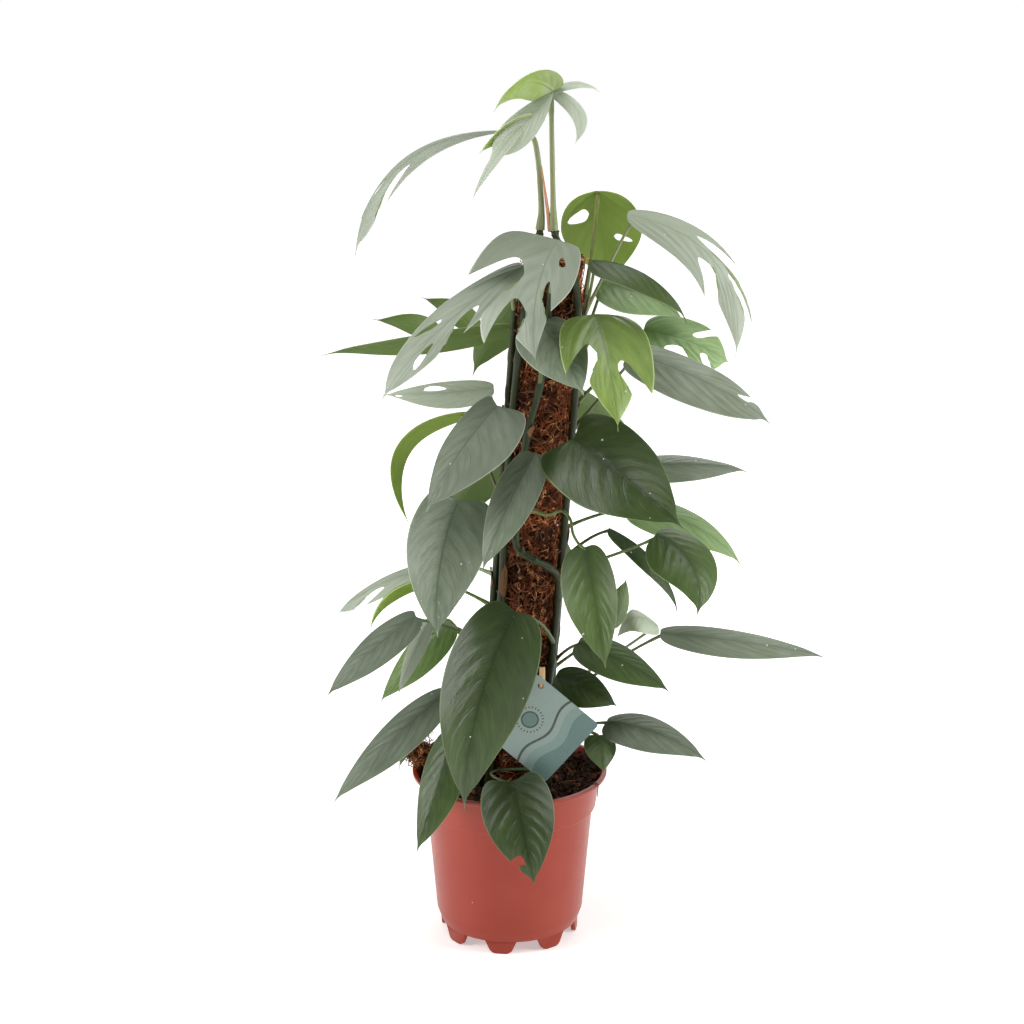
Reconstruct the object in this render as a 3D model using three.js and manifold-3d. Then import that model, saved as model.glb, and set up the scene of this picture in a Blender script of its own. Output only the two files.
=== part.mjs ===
// A climbing blue pothos in a nursery pot: soil, a leaning coir pole, the vines
// that hug it, some fifty leaves on their stalks, and a square tag on a stick.
// Millimetres, +Z up. The origin is on the ground, on the axis of the pot.

import * as THREE from 'three';
import { mergeVertices } from 'three/addons/utils/BufferGeometryUtils.js';
import Module from 'manifold-3d';

const wasm = await Module();
wasm.setup();

const GAP = 0.3;

// Nursery pot
const POT = {
  height: 149.5,
  rimRadius: 85,
  lipDrop: 3.5,
  collarBottom: 116,
  collarRadius: 75.5,
  bodyRadius: 72.5,
  footRadius: 63.5,
  footHeight: 11,
  wall: 2,
  feet: 8,
  feetShift: 0.165,
  footTop: 25,
  footBottom: 15,
  footDepth: 4,
  padRadius: 12,
  drainHoles: 4,
  drainRadius: 5,
  drainCircle: 38,
  sides: 36,
};

// Soil: its surface lies below the rim and humps up at the left
const SOIL = {
  level: 139,
  lump: 2.2,
  clump: { x: -65, y: 16, height: 26, spread: 11 },
  rings: 6,
  sides: 26,
};

// Coir pole, leaning to the right as it rises
const POLE = {
  radius: 24,
  bottom: 40,
  top: 597,
  offset: 1.4,
  offsetHeight: 150,
  lean: 0.078,
  lump: 0.9,
  sides: 14,
  rings: 11,
};

const VINE = {
  radius: 3.3,
  standoff: 29,
  bottom: 112,
  step: 38,
  crossingStep: 18,
  sides: 7,
};

const STALK = { radius: 1.5, sides: 5, steps: 5 };

// Blades: thicker at the midrib than at the margin, which waves a little. The
// lobes at the stalk reach back furthest at this share of the length.
const BLADE = { rib: 1.5, margin: 0.7, wave: 1.5, lobePlace: 0.08 };

// Places along a margin nearer than this are one place
const SAME = 1e-6;

// The vines, each a list of stops: height, bearing round the pole in degrees
// (-90 faces the viewer) and, near the top, the distance from the pole's axis.
const VINES = {
  vine_left: [[200, 203], [290, 200], [380, 198], [470, 194], [530, 190], [562, 186]],
  vine_front_left: [
    [200, 228], [290, 226], [380, 226], [470, 232], [540, 236], [580, 242], [598, 250, 28.5],
    [612, 258, 18], [622, 260, 17],
  ],
  vine_crossing: [
    [230, -26], [304, -25, 30], [330, -37, 31], [342, -64, 31.5],
    [350, -92, 31.5], [359, -112, 31], [380, -115, 30],
    [450, -112], [500, -96], [560, -92], [584, -92],
  ],
  vine_front_right: [
    [230, 2], [300, 4], [360, -14], [450, -20], [540, -30], [580, -50], [598, -62, 28.5],
    [612, -72, 18], [622, -74, 17],
  ],
  vine_right: [[230, 32], [300, 30], [400, 22], [480, 18], [566, 14]],
  vine_back: [[250, 92], [400, 95], [560, 90]],
};

// Square card hung by its corner, on a flat wooden stick behind it
const TAG = {
  side: 69,
  thickness: 0.8,
  turn: 49,
  x: 26.5,
  front: -62,
  z: 208.8,
  holeZ: 247,
  holeRadius: 2.6,
  stickX: 27.3,
  stickWidth: 5,
  stickDepth: 2,
  stickBottom: 118,
  stickTop: 263,
};

// Outline of half a blade: where it is widest, how pointed its tip is, how far
// the lobes at the stalk reach back and how far the side veins sweep forward.
const OUTLINES = {
  heart: { rise: 0.42, point: 1.15, back: 0.13, sweep: 0.07 },
  oval: { rise: 0.5, point: 1.2, back: 0.06, sweep: 0.08 },
  lance: { rise: 0.55, point: 1.35, back: 0.03, sweep: 0.1 },
  split: { rise: 0.42, point: 1.1, back: 0.08, sweep: 0.2 },
  lobed: { rise: 0.4, point: 1.9, back: 0.12, sweep: 0.2 },
  late: { rise: 0.9, point: 1.1, back: 0, sweep: 0.2 },
};

// Colours of the leaves in the light they hang in
const TONES = {
  silver: 0xa9b7ab,
  grey: 0x7f8f84,
  green: 0x5d7d55,
  dark: 0x3f5d3c,
  bright: 0x86ad4e,
  light: 0x9ab884,
};

const vector = ([x, y, z]) => new THREE.Vector3(x, y, z);
const radians = THREE.MathUtils.degToRad;

// Solids from three.js geometry and back

function solid(geometry) {
  const bare = geometry.index ? geometry.toNonIndexed() : geometry.clone();
  bare.deleteAttribute('normal');
  bare.deleteAttribute('uv');
  const merged = mergeVertices(bare, 1e-4);
  const mesh = new wasm.Mesh({
    numProp: 3,
    vertProperties: new Float32Array(merged.attributes.position.array),
    triVerts: new Uint32Array(merged.index.array),
  });
  return new wasm.Manifold(mesh);
}

function geometryOf(body) {
  const mesh = body.getMesh();
  const geometry = new THREE.BufferGeometry();
  geometry.setAttribute('position', new THREE.BufferAttribute(mesh.vertProperties, 3));
  geometry.setIndex(new THREE.BufferAttribute(mesh.triVerts, 1));
  geometry.computeVertexNormals();
  return geometry;
}

function ring(radius, sides) {
  const shape = new THREE.Shape();
  for (let i = 0; i < sides; i += 1) {
    const angle = (2 * Math.PI * i) / sides;
    const x = radius * Math.cos(angle);
    const y = radius * Math.sin(angle);
    if (i === 0) {
      shape.moveTo(x, y);
    } else {
      shape.lineTo(x, y);
    }
  }
  shape.closePath();
  return shape;
}

function tube(path, radius, sides, steps) {
  return new THREE.ExtrudeGeometry(ring(radius, sides), { steps, extrudePath: path, bevelEnabled: false });
}

function upright(geometry) {
  return geometry.rotateX(Math.PI / 2);
}

// The pot: a lathe for the wall and floor, then feet, a centre pad and drain holes

function potGeometry() {
  const floorTop = POT.footHeight + POT.wall;
  const innerBase = POT.footRadius - POT.wall;
  const outline = [
    [0, POT.footHeight],
    [POT.footRadius - 4, POT.footHeight],
    [POT.footRadius, POT.footHeight + 4],
    [POT.bodyRadius, POT.collarBottom],
    [POT.collarRadius, POT.collarBottom + 1],
    [POT.collarRadius + 3.5, POT.height - POT.lipDrop - 2],
    [POT.rimRadius, POT.height - POT.lipDrop],
    [POT.rimRadius, POT.height],
    [POT.rimRadius - 4, POT.height],
    [POT.collarRadius - POT.wall, POT.collarBottom + 1.5],
    [POT.bodyRadius - POT.wall, POT.collarBottom - 2],
    [innerBase, floorTop],
    [0, floorTop],
  ];
  const points = outline.map(([radius, z]) => new THREE.Vector2(radius, z));
  let body = solid(upright(new THREE.LatheGeometry(points, POT.sides)));
  for (let i = 0; i < POT.feet; i += 1) {
    body = body.add(footSolid((2 * Math.PI * (i - POT.feetShift)) / POT.feet));
  }
  const pad = upright(new THREE.CylinderGeometry(POT.padRadius, POT.padRadius, POT.footHeight + 1, 24));
  body = body.add(solid(pad.translate(0, 0, (POT.footHeight + 1) / 2)));
  for (let i = 0; i < POT.drainHoles; i += 1) {
    const angle = (2 * Math.PI * (i + 0.5)) / POT.drainHoles;
    const hole = upright(new THREE.CylinderGeometry(POT.drainRadius, POT.drainRadius, 8, 10));
    hole.translate(POT.drainCircle * Math.cos(angle), POT.drainCircle * Math.sin(angle), floorTop);
    body = body.subtract(solid(hole));
  }
  return geometryOf(body);
}

function footSolid(angle) {
  const shape = new THREE.Shape();
  shape.moveTo(-POT.footTop / 2, POT.footHeight + 1);
  shape.lineTo(-POT.footBottom / 2, 1.5);
  shape.lineTo(-POT.footBottom / 2 + 1.5, 0);
  shape.lineTo(POT.footBottom / 2 - 1.5, 0);
  shape.lineTo(POT.footBottom / 2, 1.5);
  shape.lineTo(POT.footTop / 2, POT.footHeight + 1);
  shape.closePath();
  const foot = new THREE.ExtrudeGeometry(shape, { depth: POT.footDepth, bevelEnabled: false });
  foot.rotateX(Math.PI / 2);
  foot.rotateZ(Math.PI / 2);
  foot.translate(POT.footRadius - 6, 0, 0);
  foot.rotateZ(angle);
  return solid(foot);
}

// The soil fills the pot, with plain holes for what stands in it

function soilHeight(x, y) {
  const ripple = Math.sin(x * 0.21 + 1) * Math.cos(y * 0.17) + 0.6 * Math.sin(x * 0.09 - y * 0.13);
  const { clump } = SOIL;
  const reach = ((x - clump.x) ** 2 + (y - clump.y) ** 2) / clump.spread ** 2;
  return SOIL.level + SOIL.lump * ripple + clump.height * Math.exp(-reach);
}

function soilGeometry(holes) {
  const floor = POT.footHeight + POT.wall + GAP;
  const wallBase = POT.footRadius - POT.wall - 0.6;
  const wallTop = POT.collarRadius - POT.wall - 0.4;
  const profile = [
    new THREE.Vector2(0, floor),
    new THREE.Vector2(wallBase, floor),
    new THREE.Vector2(POT.bodyRadius - POT.wall - 0.7, POT.collarBottom - 3),
    new THREE.Vector2(wallTop, SOIL.level - 12),
  ];
  for (let i = 0; i <= SOIL.rings; i += 1) {
    profile.push(new THREE.Vector2(wallTop * (1 - i / SOIL.rings), SOIL.level));
  }
  const geometry = upright(new THREE.LatheGeometry(profile, SOIL.sides));
  const position = geometry.attributes.position;
  for (let i = 0; i < position.count; i += 1) {
    if (position.getZ(i) > SOIL.level - 1) {
      position.setZ(i, soilHeight(position.getX(i), position.getY(i)));
    }
  }
  let body = solid(geometry);
  for (const hole of holes) {
    body = body.subtract(hole);
  }
  return geometryOf(body);
}

// The pole: a rough cylinder on a leaning axis

function poleAxis(z) {
  return new THREE.Vector3(POLE.offset + POLE.lean * (z - POLE.offsetHeight), 0, z);
}

function poleGeometry() {
  const profile = [new THREE.Vector2(0, POLE.bottom)];
  for (let i = 0; i <= POLE.rings; i += 1) {
    const z = POLE.bottom + ((POLE.top - 4 - POLE.bottom) * i) / POLE.rings;
    profile.push(new THREE.Vector2(POLE.radius, z));
  }
  profile.push(new THREE.Vector2(POLE.radius - 6, POLE.top), new THREE.Vector2(0, POLE.top));
  const geometry = upright(new THREE.LatheGeometry(profile, POLE.sides));
  const position = geometry.attributes.position;
  for (let i = 0; i < position.count; i += 1) {
    const x = position.getX(i);
    const y = position.getY(i);
    const z = position.getZ(i);
    const bump = Math.sin(z * 0.085 + 2 * Math.atan2(y, x)) * POLE.lump;
    const grow = Math.hypot(x, y) > 1 ? 1 + bump / POLE.radius : 1;
    const axis = poleAxis(z);
    position.setXYZ(i, axis.x + x * grow, axis.y + y * grow, z);
  }
  return geometryOf(solid(geometry));
}

// The vines climb round the pole

function vinePath(stops) {
  const first = [VINE.bottom, stops[0][1]];
  const points = [first, ...stops].map(([z, bearing, radius = VINE.standoff]) => {
    const angle = radians(bearing);
    return poleAxis(z).add(new THREE.Vector3(radius * Math.cos(angle), radius * Math.sin(angle), 0));
  });
  return new THREE.CatmullRomCurve3(points);
}

function vinePoint(path, z) {
  let low = 0;
  let high = 1;
  for (let i = 0; i < 24; i += 1) {
    const middle = (low + high) / 2;
    if (path.getPoint(middle).z < z) {
      low = middle;
    } else {
      high = middle;
    }
  }
  return path.getPoint(low);
}

function vineGeometry(path, step) {
  return geometryOf(solid(tube(path, VINE.radius, VINE.sides, Math.round(path.getLength() / step))));
}

// One blade. The midrib runs from base to tip and rises towards the upper face
// by arch and sideways by bow. Each half folds back by fold and curls to its
// margin by curl. Cuts are [side, place along the margin, inner row, width,
// outer row]; one that stops at an inner row is a hole.

class Blade {
  constructor(options) {
    const bends = { arch: 8, bow: 0, fold: 12, curl: 14 };
    const edges = { skew: 0, shape: 'oval', cuts: [], taper: 0.35, tail: 0 };
    Object.assign(this, bends, edges, options);
    this.outline = { ...OUTLINES[this.shape] };
    this.outline.sweep = this.sweep ?? this.outline.sweep;
    this.outline.back = this.back ?? this.outline.back;
    this.start = vector(this.base);
    this.along = vector(this.tip).sub(this.start);
    this.length = this.along.length();
    this.along.normalize();
    this.facing = vector(this.face);
    this.facing.addScaledVector(this.along, -this.facing.dot(this.along)).normalize();
    this.across = new THREE.Vector3().crossVectors(this.along, this.facing);
    const holed = this.cuts.some((cut) => cut[4] !== undefined);
    if (holed) {
      this.rows = [0, 0.34, 0.6, 0.82, 1];
    } else {
      this.rows = this.cuts.length ? [0, 0.36, 0.7, 1] : [0, 0.55, 1];
    }
    this.columns = this.cuts.length ? 8 : this.fine ?? 7;
  }

  rib(u) {
    const bend = u < 0 ? 4 * u : 4 * u * (1 - u);
    const slope = u < 0 ? 4 : 4 - 8 * u;
    const point = this.start.clone().addScaledVector(this.along, this.length * u);
    point.addScaledVector(this.facing, this.arch * bend).addScaledVector(this.across, this.bow * bend);
    const tangent = this.along.clone().multiplyScalar(this.length);
    tangent.addScaledVector(this.facing, this.arch * slope).addScaledVector(this.across, this.bow * slope);
    tangent.normalize();
    const normal = this.facing.clone().addScaledVector(tangent, -this.facing.dot(tangent)).normalize();
    const across = new THREE.Vector3().crossVectors(tangent, normal);
    return { point, normal, across };
  }

  // Half width of the outline at place t along the margin
  reach(t, side) {
    const { rise, point } = this.outline;
    const peak = (rise / (rise + point)) ** rise * (point / (rise + point)) ** point;
    const half = (0.5 * this.width * t ** rise * (1 - t) ** point) / peak;
    return half * (1 + side * this.skew) * this.lobeFactor(t, side);
  }

  // Places of the cuts that run out to one margin, in order
  openCuts(side) {
    return this.cuts.filter((cut) => cut[0] === side && cut[4] === undefined).map((cut) => cut[1]);
  }

  // Past its last cut the blade loses the share tail of its width and sweep
  kept(t, side) {
    const places = this.openCuts(side);
    return places.length > 0 && places.every((place) => place < t - SAME) ? 1 - this.tail : 1;
  }

  // Fingers between two cuts are longest at their forward corner
  lobeFactor(t, side) {
    const places = this.openCuts(side);
    const next = places.find((place) => place > t - SAME);
    const last = places.filter((place) => place <= t - SAME).pop();
    if (next === undefined || last === undefined) {
      return this.kept(t, side);
    }
    return 1 - this.taper * (1 - (t - last) / (next - last)) ** 1.5;
  }

  point(t, f, side) {
    const { back, sweep } = this.outline;
    const step = (t / BLADE.lobePlace) ** 0.75;
    const lobe = t < 1 ? back * step * Math.exp(1 - step) : 0;
    const edge = t + sweep * this.kept(t, side) * Math.sin(Math.PI * t) * (1 - t) ** 0.3 - lobe;
    const u = t + (edge - t) * f ** 1.4;
    const x = this.reach(t, side) * f;
    const { point, normal, across } = this.rib(u);
    const turn = radians(this.fold + this.curl * f * 0.5);
    const flutter = BLADE.wave * Math.sin(9 * u + this.start.z) * (x / 35) ** 2;
    point.addScaledVector(across, side * x * Math.cos(turn));
    return point.addScaledVector(normal, flutter - x * Math.sin(turn));
  }

  // Places along the margin; a cut gives two columns with nothing between them
  stations(side) {
    const places = [];
    for (let i = 0; i <= this.columns; i += 1) {
      const t = (i / this.columns) ** 1.15;
      const clear = this.cuts.every((cut) => Math.abs(cut[1] - t) > cut[3] / 2 + 0.025);
      if (clear) {
        places.push({ t });
      }
    }
    for (const cut of this.cuts) {
      const [cutSide, t, inner, width, outer = Infinity] = cut;
      if (cutSide === side) {
        places.push({ t: t - width / 2, middle: t, inner, outer, opens: true });
        places.push({ t: t + width / 2, middle: t, inner, outer });
      } else {
        places.push({ t });
      }
    }
    return places.sort((a, b) => a.t - b.t);
  }

  vertex(place, row, side) {
    const f = this.rows[row];
    const joined = place.middle !== undefined && (row <= place.inner || row >= place.outer);
    const centre = joined ? place.middle : place.t;
    return { f, position: this.point(centre, f, side) };
  }

  solid() {
    const vertices = [];
    const lookup = new Map();
    const faces = [];
    const index = ({ f, position }) => {
      const key = position.toArray().map((value) => Math.round(value * 1000)).join();
      if (!lookup.has(key)) {
        lookup.set(key, vertices.length);
        vertices.push({ f, position, normal: new THREE.Vector3() });
      }
      return lookup.get(key);
    };
    const face = (a, b, c) => {
      if (a !== b && b !== c && c !== a) {
        faces.push([a, b, c]);
      }
    };
    for (const side of [1, -1]) {
      const places = this.stations(side);
      for (let i = 0; i + 1 < places.length; i += 1) {
        for (let row = 0; row + 1 < this.rows.length && !places[i].opens; row += 1) {
          const a = index(this.vertex(places[i], row, side));
          const b = index(this.vertex(places[i + 1], row, side));
          const c = index(this.vertex(places[i + 1], row + 1, side));
          const d = index(this.vertex(places[i], row + 1, side));
          if (side > 0) {
            face(a, c, b);
            face(a, d, c);
          } else {
            face(a, b, c);
            face(a, c, d);
          }
        }
      }
    }
    return thicken(vertices, faces);
  }
}

// Both faces of a sheet are split alike, half a thickness to each side of it

function thicken(vertices, faces) {
  for (const [a, b, c] of faces) {
    const first = vertices[b].position.clone().sub(vertices[a].position);
    const second = vertices[c].position.clone().sub(vertices[a].position);
    const normal = first.cross(second);
    for (const corner of [a, b, c]) {
      vertices[corner].normal.add(normal);
    }
  }
  const positions = [];
  for (const sign of [1, -1]) {
    for (const { f, position, normal } of vertices) {
      const thickness = BLADE.margin + (BLADE.rib - BLADE.margin) * (1 - f) ** 3;
      const shift = normal.clone().normalize().multiplyScalar((sign * thickness) / 2);
      positions.push(...position.clone().add(shift).toArray());
    }
  }
  const count = vertices.length;
  const triangles = [];
  const edges = new Set(faces.flatMap(([a, b, c]) => [`${a},${b}`, `${b},${c}`, `${c},${a}`]));
  for (const [a, b, c] of faces) {
    triangles.push(a, b, c, a + count, c + count, b + count);
    for (const [from, to] of [[a, b], [b, c], [c, a]]) {
      if (!edges.has(`${to},${from}`)) {
        triangles.push(to, from, from + count, to, from + count, to + count);
      }
    }
  }
  const geometry = new THREE.BufferGeometry();
  geometry.setAttribute('position', new THREE.Float32BufferAttribute(positions, 3));
  geometry.setIndex(triangles);
  return solid(geometry);
}

// A leaf: its blade, any further lobes, and the stalk that leaves the vine

function stalkSolid(path, leaf, blade) {
  const radius = leaf.stalk ?? STALK.radius;
  const top = path.getPoint(1);
  const terminal = leaf.at >= top.z;
  const root = terminal ? top : vinePoint(path, leaf.at);
  const end = blade.rib(0.03).point;
  const control = root.clone().lerp(end, 0.45);
  control.add(vector(leaf.via ?? [0, 0, 12]));
  const heading = control.clone().sub(root).normalize();
  const outward = new THREE.Vector3(heading.x, heading.y, 0).normalize();
  const clearance = VINE.radius + GAP + radius * Math.abs(heading.z);
  const slant = path.getTangent(1).cross(heading).length();
  const start = root.clone();
  if (terminal) {
    start.addScaledVector(heading, GAP + VINE.radius * slant);
  } else {
    start.addScaledVector(outward, clearance);
  }
  const curve = new THREE.QuadraticBezierCurve3(start, control, end);
  return solid(tube(curve, radius, STALK.sides, leaf.steps ?? STALK.steps));
}

function leafGeometry(leaf, paths) {
  const blade = new Blade(leaf);
  let body = blade.solid().add(stalkSolid(paths[leaf.vine], leaf, blade));
  for (const lobe of leaf.lobes ?? []) {
    const start = lobe.from === undefined ? lobe.base : blade.rib(lobe.from).point.toArray();
    body = body.add(new Blade({ ...lobe, base: start }).solid());
  }
  return geometryOf(body);
}

// The leaves from the crown down: the vine and height each stalk leaves at, the
// point that its stalk bends over, then the blade itself.
const LEAVES = [
  {
    name: 'leaf_crown_split', vine: 'vine_front_right', at: 622, via: [0, 0, 0], stalk: 2.4, tone: 'silver',
    base: [35, 0, 733], tip: [-16, -45, 684], face: [0.3, -0.7, 0.65], width: 36, arch: 6, shape: 'lance',
    lobes: [
      {
        fine: 5, base: [35, 0, 733], tip: [-14, -36, 720], face: [0.1, 0.8, 0.6],
        width: 34, arch: 5, bow: -16,
      },
      {
        fine: 5, base: [35, 0, 733], tip: [52, -36, 694], face: [0.3, -0.8, 0.5],
        width: 19, arch: 2, bow: -13,
      },
      { fine: 5, base: [35, 0, 733], tip: [74, 14, 731], face: [0, -0.6, 0.8], width: 10, arch: 8 },
      {
        fine: 5, from: 0.55, tip: [-31, -76, 652], face: [-0.3, -0.7, 0.6],
        width: 10, arch: 6, shape: 'lance',
      },
      { fine: 5, from: 0.4, tip: [-25, -44, 687], face: [0.2, 0.8, 0.4], width: 13, arch: 4, shape: 'lance' },
    ],
  },
  {
    name: 'leaf_crown_left', vine: 'vine_front_left', at: 622, via: [4, 0, 58], stalk: 2.5, tone: 'silver',
    base: [4, -4, 701], tip: [-128, -24, 606], face: [-0.35, -0.45, 0.8], width: 27, arch: 38,
    shape: 'late', sweep: 0.32, cuts: [[-1, 0.5, 1, 0.12], [1, 0.62, 1, 0.08]],
  },
  {
    name: 'leaf_crown_round', vine: 'vine_right', at: 556, via: [4, 0, 10], tone: 'bright',
    base: [73, 32, 649], tip: [86, 75, 563], face: [0.05, 0.85, 0.5],
    width: 72, arch: 6, shape: 'oval', back: 0.01,
    cuts: [[-1, 0.24, 1, 0.16, 3], [1, 0.5, 1, 0.07, 3]],
  },
  {
    name: 'leaf_crown_right', vine: 'vine_right', at: 545, via: [6, 0, 14], tone: 'silver',
    base: [97, 10, 632], tip: [186, -36, 522], face: [0.2, -0.72, 0.66],
    width: 43, skew: 0.05, arch: 8, bow: -34,
    shape: 'lance', sweep: 0.4, tail: 0.3,
    cuts: [[1, 0.4, 1, 0.13], [-1, 0.32, 1, 0.12], [-1, 0.54, 1, 0.07]],
  },
  {
    name: 'leaf_front_fingered', vine: 'vine_crossing', at: 572, via: [2, -12, 10], tone: 'silver',
    base: [39, -45, 619], tip: [21, -107, 529], face: [-0.1, -0.8, 0.6],
    width: 94, skew: 0.42, arch: 8, bow: 8,
    shape: 'lobed', sweep: 0.45, tail: 0.4,
    cuts: [[1, 0.22, 1, 0.12], [1, 0.5, 1, 0.16], [-1, 0.33, 1, 0.15]],
  },
  {
    name: 'leaf_left_fingered', vine: 'vine_left', at: 553, via: [-6, -6, 20], tone: 'silver',
    base: [12, -22, 594], tip: [-104, -82, 498], face: [-0.35, -0.65, 0.67], width: 43, skew: 0.24, arch: 12,
    shape: 'split', sweep: 0.3, cuts: [[-1, 0.34, 1, 0.12], [-1, 0.64, 1, 0.14, 3], [1, 0.48, 1, 0.08, 3]],
  },
  {
    name: 'leaf_left_shadow', vine: 'vine_back', at: 492, via: [-4, 8, 10], tone: 'green',
    base: [4, 38, 534], tip: [-163, 80, 504], face: [-0.1, 0.85, 0.5], width: 26, arch: -4, shape: 'lance',
    lobes: [
      {
        fine: 5, from: 0.2, tip: [-76, 70, 552], face: [-0.1, 0.8, -0.5],
        width: 24, bow: -9, shape: 'lance',
      },
      {
        fine: 5, from: 0.38, tip: [-118, 78, 531], face: [-0.1, 0.8, -0.5],
        width: 22, bow: -9, shape: 'lance',
      },
    ],
  },
  {
    name: 'leaf_left_level', vine: 'vine_left', at: 455, via: [-8, -6, 8], tone: 'silver',
    base: [-13, -16, 492], tip: [-105, -30, 490], face: [0, -0.75, 0.66], width: 28, arch: -4,
    shape: 'lance', cuts: [[1, 0.5, 1, 0.12, 3]],
  },
  {
    name: 'leaf_behind_front', vine: 'vine_crossing', at: 496, via: [2, -8, 14], tone: 'grey',
    base: [25, -40, 551], tip: [60, -80, 500], face: [0.2, -0.8, 0.5], width: 58, arch: 6, shape: 'heart',
  },
  {
    name: 'leaf_bright_lobed', vine: 'vine_front_right', at: 508, via: [8, -10, 18], tone: 'bright',
    base: [70, -50, 560], tip: [86, -120, 480], face: [0.15, -0.8, 0.58], width: 80, skew: -0.1, arch: 8,
    shape: 'lobed', sweep: 0.48, tail: 0.35, cuts: [[1, 0.28, 1, 0.13], [-1, 0.4, 1, 0.1]],
  },
  {
    name: 'leaf_right_folded', vine: 'vine_right', at: 530, via: [4, -8, 16], tone: 'dark',
    base: [66, -38, 602], tip: [144, -60, 556], face: [0.45, -0.2, 0.87], width: 38, arch: 14, fold: 40,
    shape: 'oval',
  },
  {
    name: 'leaf_right_pale', vine: 'vine_right', at: 516, via: [6, 2, 14], tone: 'light',
    base: [75, 20, 573], tip: [145, 2, 547], face: [0.2, -0.6, 0.75], width: 44, arch: 8,
  },
  {
    name: 'leaf_right_slit', vine: 'vine_right', at: 470, via: [10, 0, 12], tone: 'light',
    base: [112, 16, 535], tip: [184, 4, 510], face: [0.1, -0.75, 0.65], width: 56, arch: 8,
    shape: 'split', sweep: 0.3, cuts: [[1, 0.32, 1, 0.16], [1, 0.66, 1, 0.08], [-1, 0.5, 1, 0.08]],
  },
  {
    name: 'leaf_right_long', vine: 'vine_right', at: 448, via: [10, -6, 14], tone: 'grey',
    base: [100, -24, 523], tip: [215, -45, 470], face: [0.25, -0.65, 0.7], width: 50, arch: 8,
    shape: 'split', cuts: [[-1, 0.74, 1, 0.08]],
  },
  {
    name: 'leaf_big_heart', vine: 'vine_front_right', at: 420, via: [4, -14, 12], tone: 'dark',
    base: [52, -62, 460], tip: [137, -130, 404], face: [0.05, -0.85, 0.5],
    width: 84, arch: 8, shape: 'heart', back: 0.2,
  },
  {
    name: 'leaf_right_grey', vine: 'vine_right', at: 392, via: [10, 4, 12], tone: 'grey',
    base: [96, 30, 412], tip: [210, 60, 403], face: [0, -0.5, 0.86], width: 37, arch: 6, shape: 'lance',
  },
  {
    name: 'leaf_right_light', vine: 'vine_right', at: 362, via: [8, -2, 10], tone: 'light',
    base: [98, 0, 384], tip: [198, -20, 340], face: [0.2, -0.6, 0.77],
    width: 42, bow: -9, arch: 8, shape: 'lance',
  },
  {
    name: 'leaf_pair_dark', vine: 'vine_right', at: 330, via: [6, -4, 16], tone: 'dark',
    base: [84, -12, 371], tip: [144, -36, 301], face: [0.5, 0.2, 0.8], width: 36, arch: 12, fold: 40,
    shape: 'lance',
  },
  {
    name: 'leaf_pair_round', vine: 'vine_front_right', at: 330, via: [10, -10, 2], tone: 'dark',
    base: [121, -48, 375], tip: [153, -100, 322], face: [0.3, -0.75, 0.6], width: 60, arch: 8, bow: -12,
  },
  {
    name: 'leaf_centre_green', vine: 'vine_front_right', at: 345, via: [2, -10, 14], tone: 'green',
    base: [62, -75, 372], tip: [78, -120, 282], face: [0, -0.87, 0.5],
    width: 47, skew: 0.12, arch: 6, shape: 'oval',
  },
  {
    name: 'leaf_centre_grey', vine: 'vine_crossing', at: 408, via: [0, -8, 8], tone: 'grey',
    base: [20, -53, 445], tip: [-23, -103, 359], face: [-0.25, -0.85, 0.45],
    width: 40, arch: 6, shape: 'oval',
  },
  {
    name: 'leaf_left_silver', vine: 'vine_front_left', at: 452, via: [0, -8, 12], tone: 'grey',
    base: [-10, -56, 486], tip: [-68, -100, 409], face: [-0.35, -0.75, 0.55], width: 60, skew: -0.15, arch: 7,
    shape: 'heart',
  },
  {
    name: 'leaf_left_sickle', vine: 'vine_left', at: 425, via: [-10, 0, 20], tone: 'bright',
    base: [-34, -20, 472], tip: [-84, -20, 372], face: [-0.6, 0.6, 0.5], width: 26, arch: 36, bow: -14,
    shape: 'lance',
  },
  {
    name: 'leaf_left_narrow', vine: 'vine_left', at: 395, via: [-6, 2, 10], tone: 'grey',
    base: [-18, 2, 430], tip: [-76, 16, 377], face: [-0.3, -0.5, 0.8], width: 22, arch: 6, shape: 'lance',
  },
  {
    name: 'leaf_left_big', vine: 'vine_front_left', at: 368, via: [-8, -12, 10], tone: 'grey',
    base: [-42, -60, 407], tip: [-59, -100, 302], face: [-0.15, -0.9, 0.4],
    width: 72, bow: 5, arch: 8, shape: 'heart',
  },
  {
    name: 'leaf_left_forked', vine: 'vine_left', at: 328, via: [-10, 6, 8], tone: 'silver',
    base: [-55, 20, 330], tip: [-155, 55, 274], face: [-0.3, -0.4, 0.85], width: 30, arch: 8,
    shape: 'split', sweep: 0.3, cuts: [[-1, 0.5, 1, 0.12]],
  },
  {
    name: 'leaf_left_bright', vine: 'vine_left', at: 300, via: [-8, 0, 12], tone: 'bright',
    base: [-70, 0, 321], tip: [-120, -20, 281], face: [-0.5, 0.5, 0.7], width: 30, arch: 14, shape: 'oval',
  },
  {
    name: 'leaf_left_low', vine: 'vine_front_left', at: 268, via: [-8, -4, 10], tone: 'green',
    base: [-78, -54, 306], tip: [-154, -74, 242], face: [-0.3, -0.75, 0.6], width: 34, arch: 6, shape: 'oval',
  },
  {
    name: 'leaf_left_hanging', vine: 'vine_left', at: 262, via: [-6, -6, 16], tone: 'silver',
    base: [-67, -34, 297], tip: [-95, -46, 232], face: [-0.2, -0.8, 0.5], width: 16, arch: 4, shape: 'lance',
  },
  {
    name: 'leaf_left_curled', vine: 'vine_left', at: 236, via: [-4, 2, 14], tone: 'green',
    base: [-48, -12, 287], tip: [-113, -22, 217], face: [-0.2, -0.8, 0.6], width: 34, arch: 6, shape: 'lance',
  },
  {
    name: 'leaf_front_large', vine: 'vine_crossing', at: 268, via: [4, -26, 26], tone: 'green',
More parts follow.
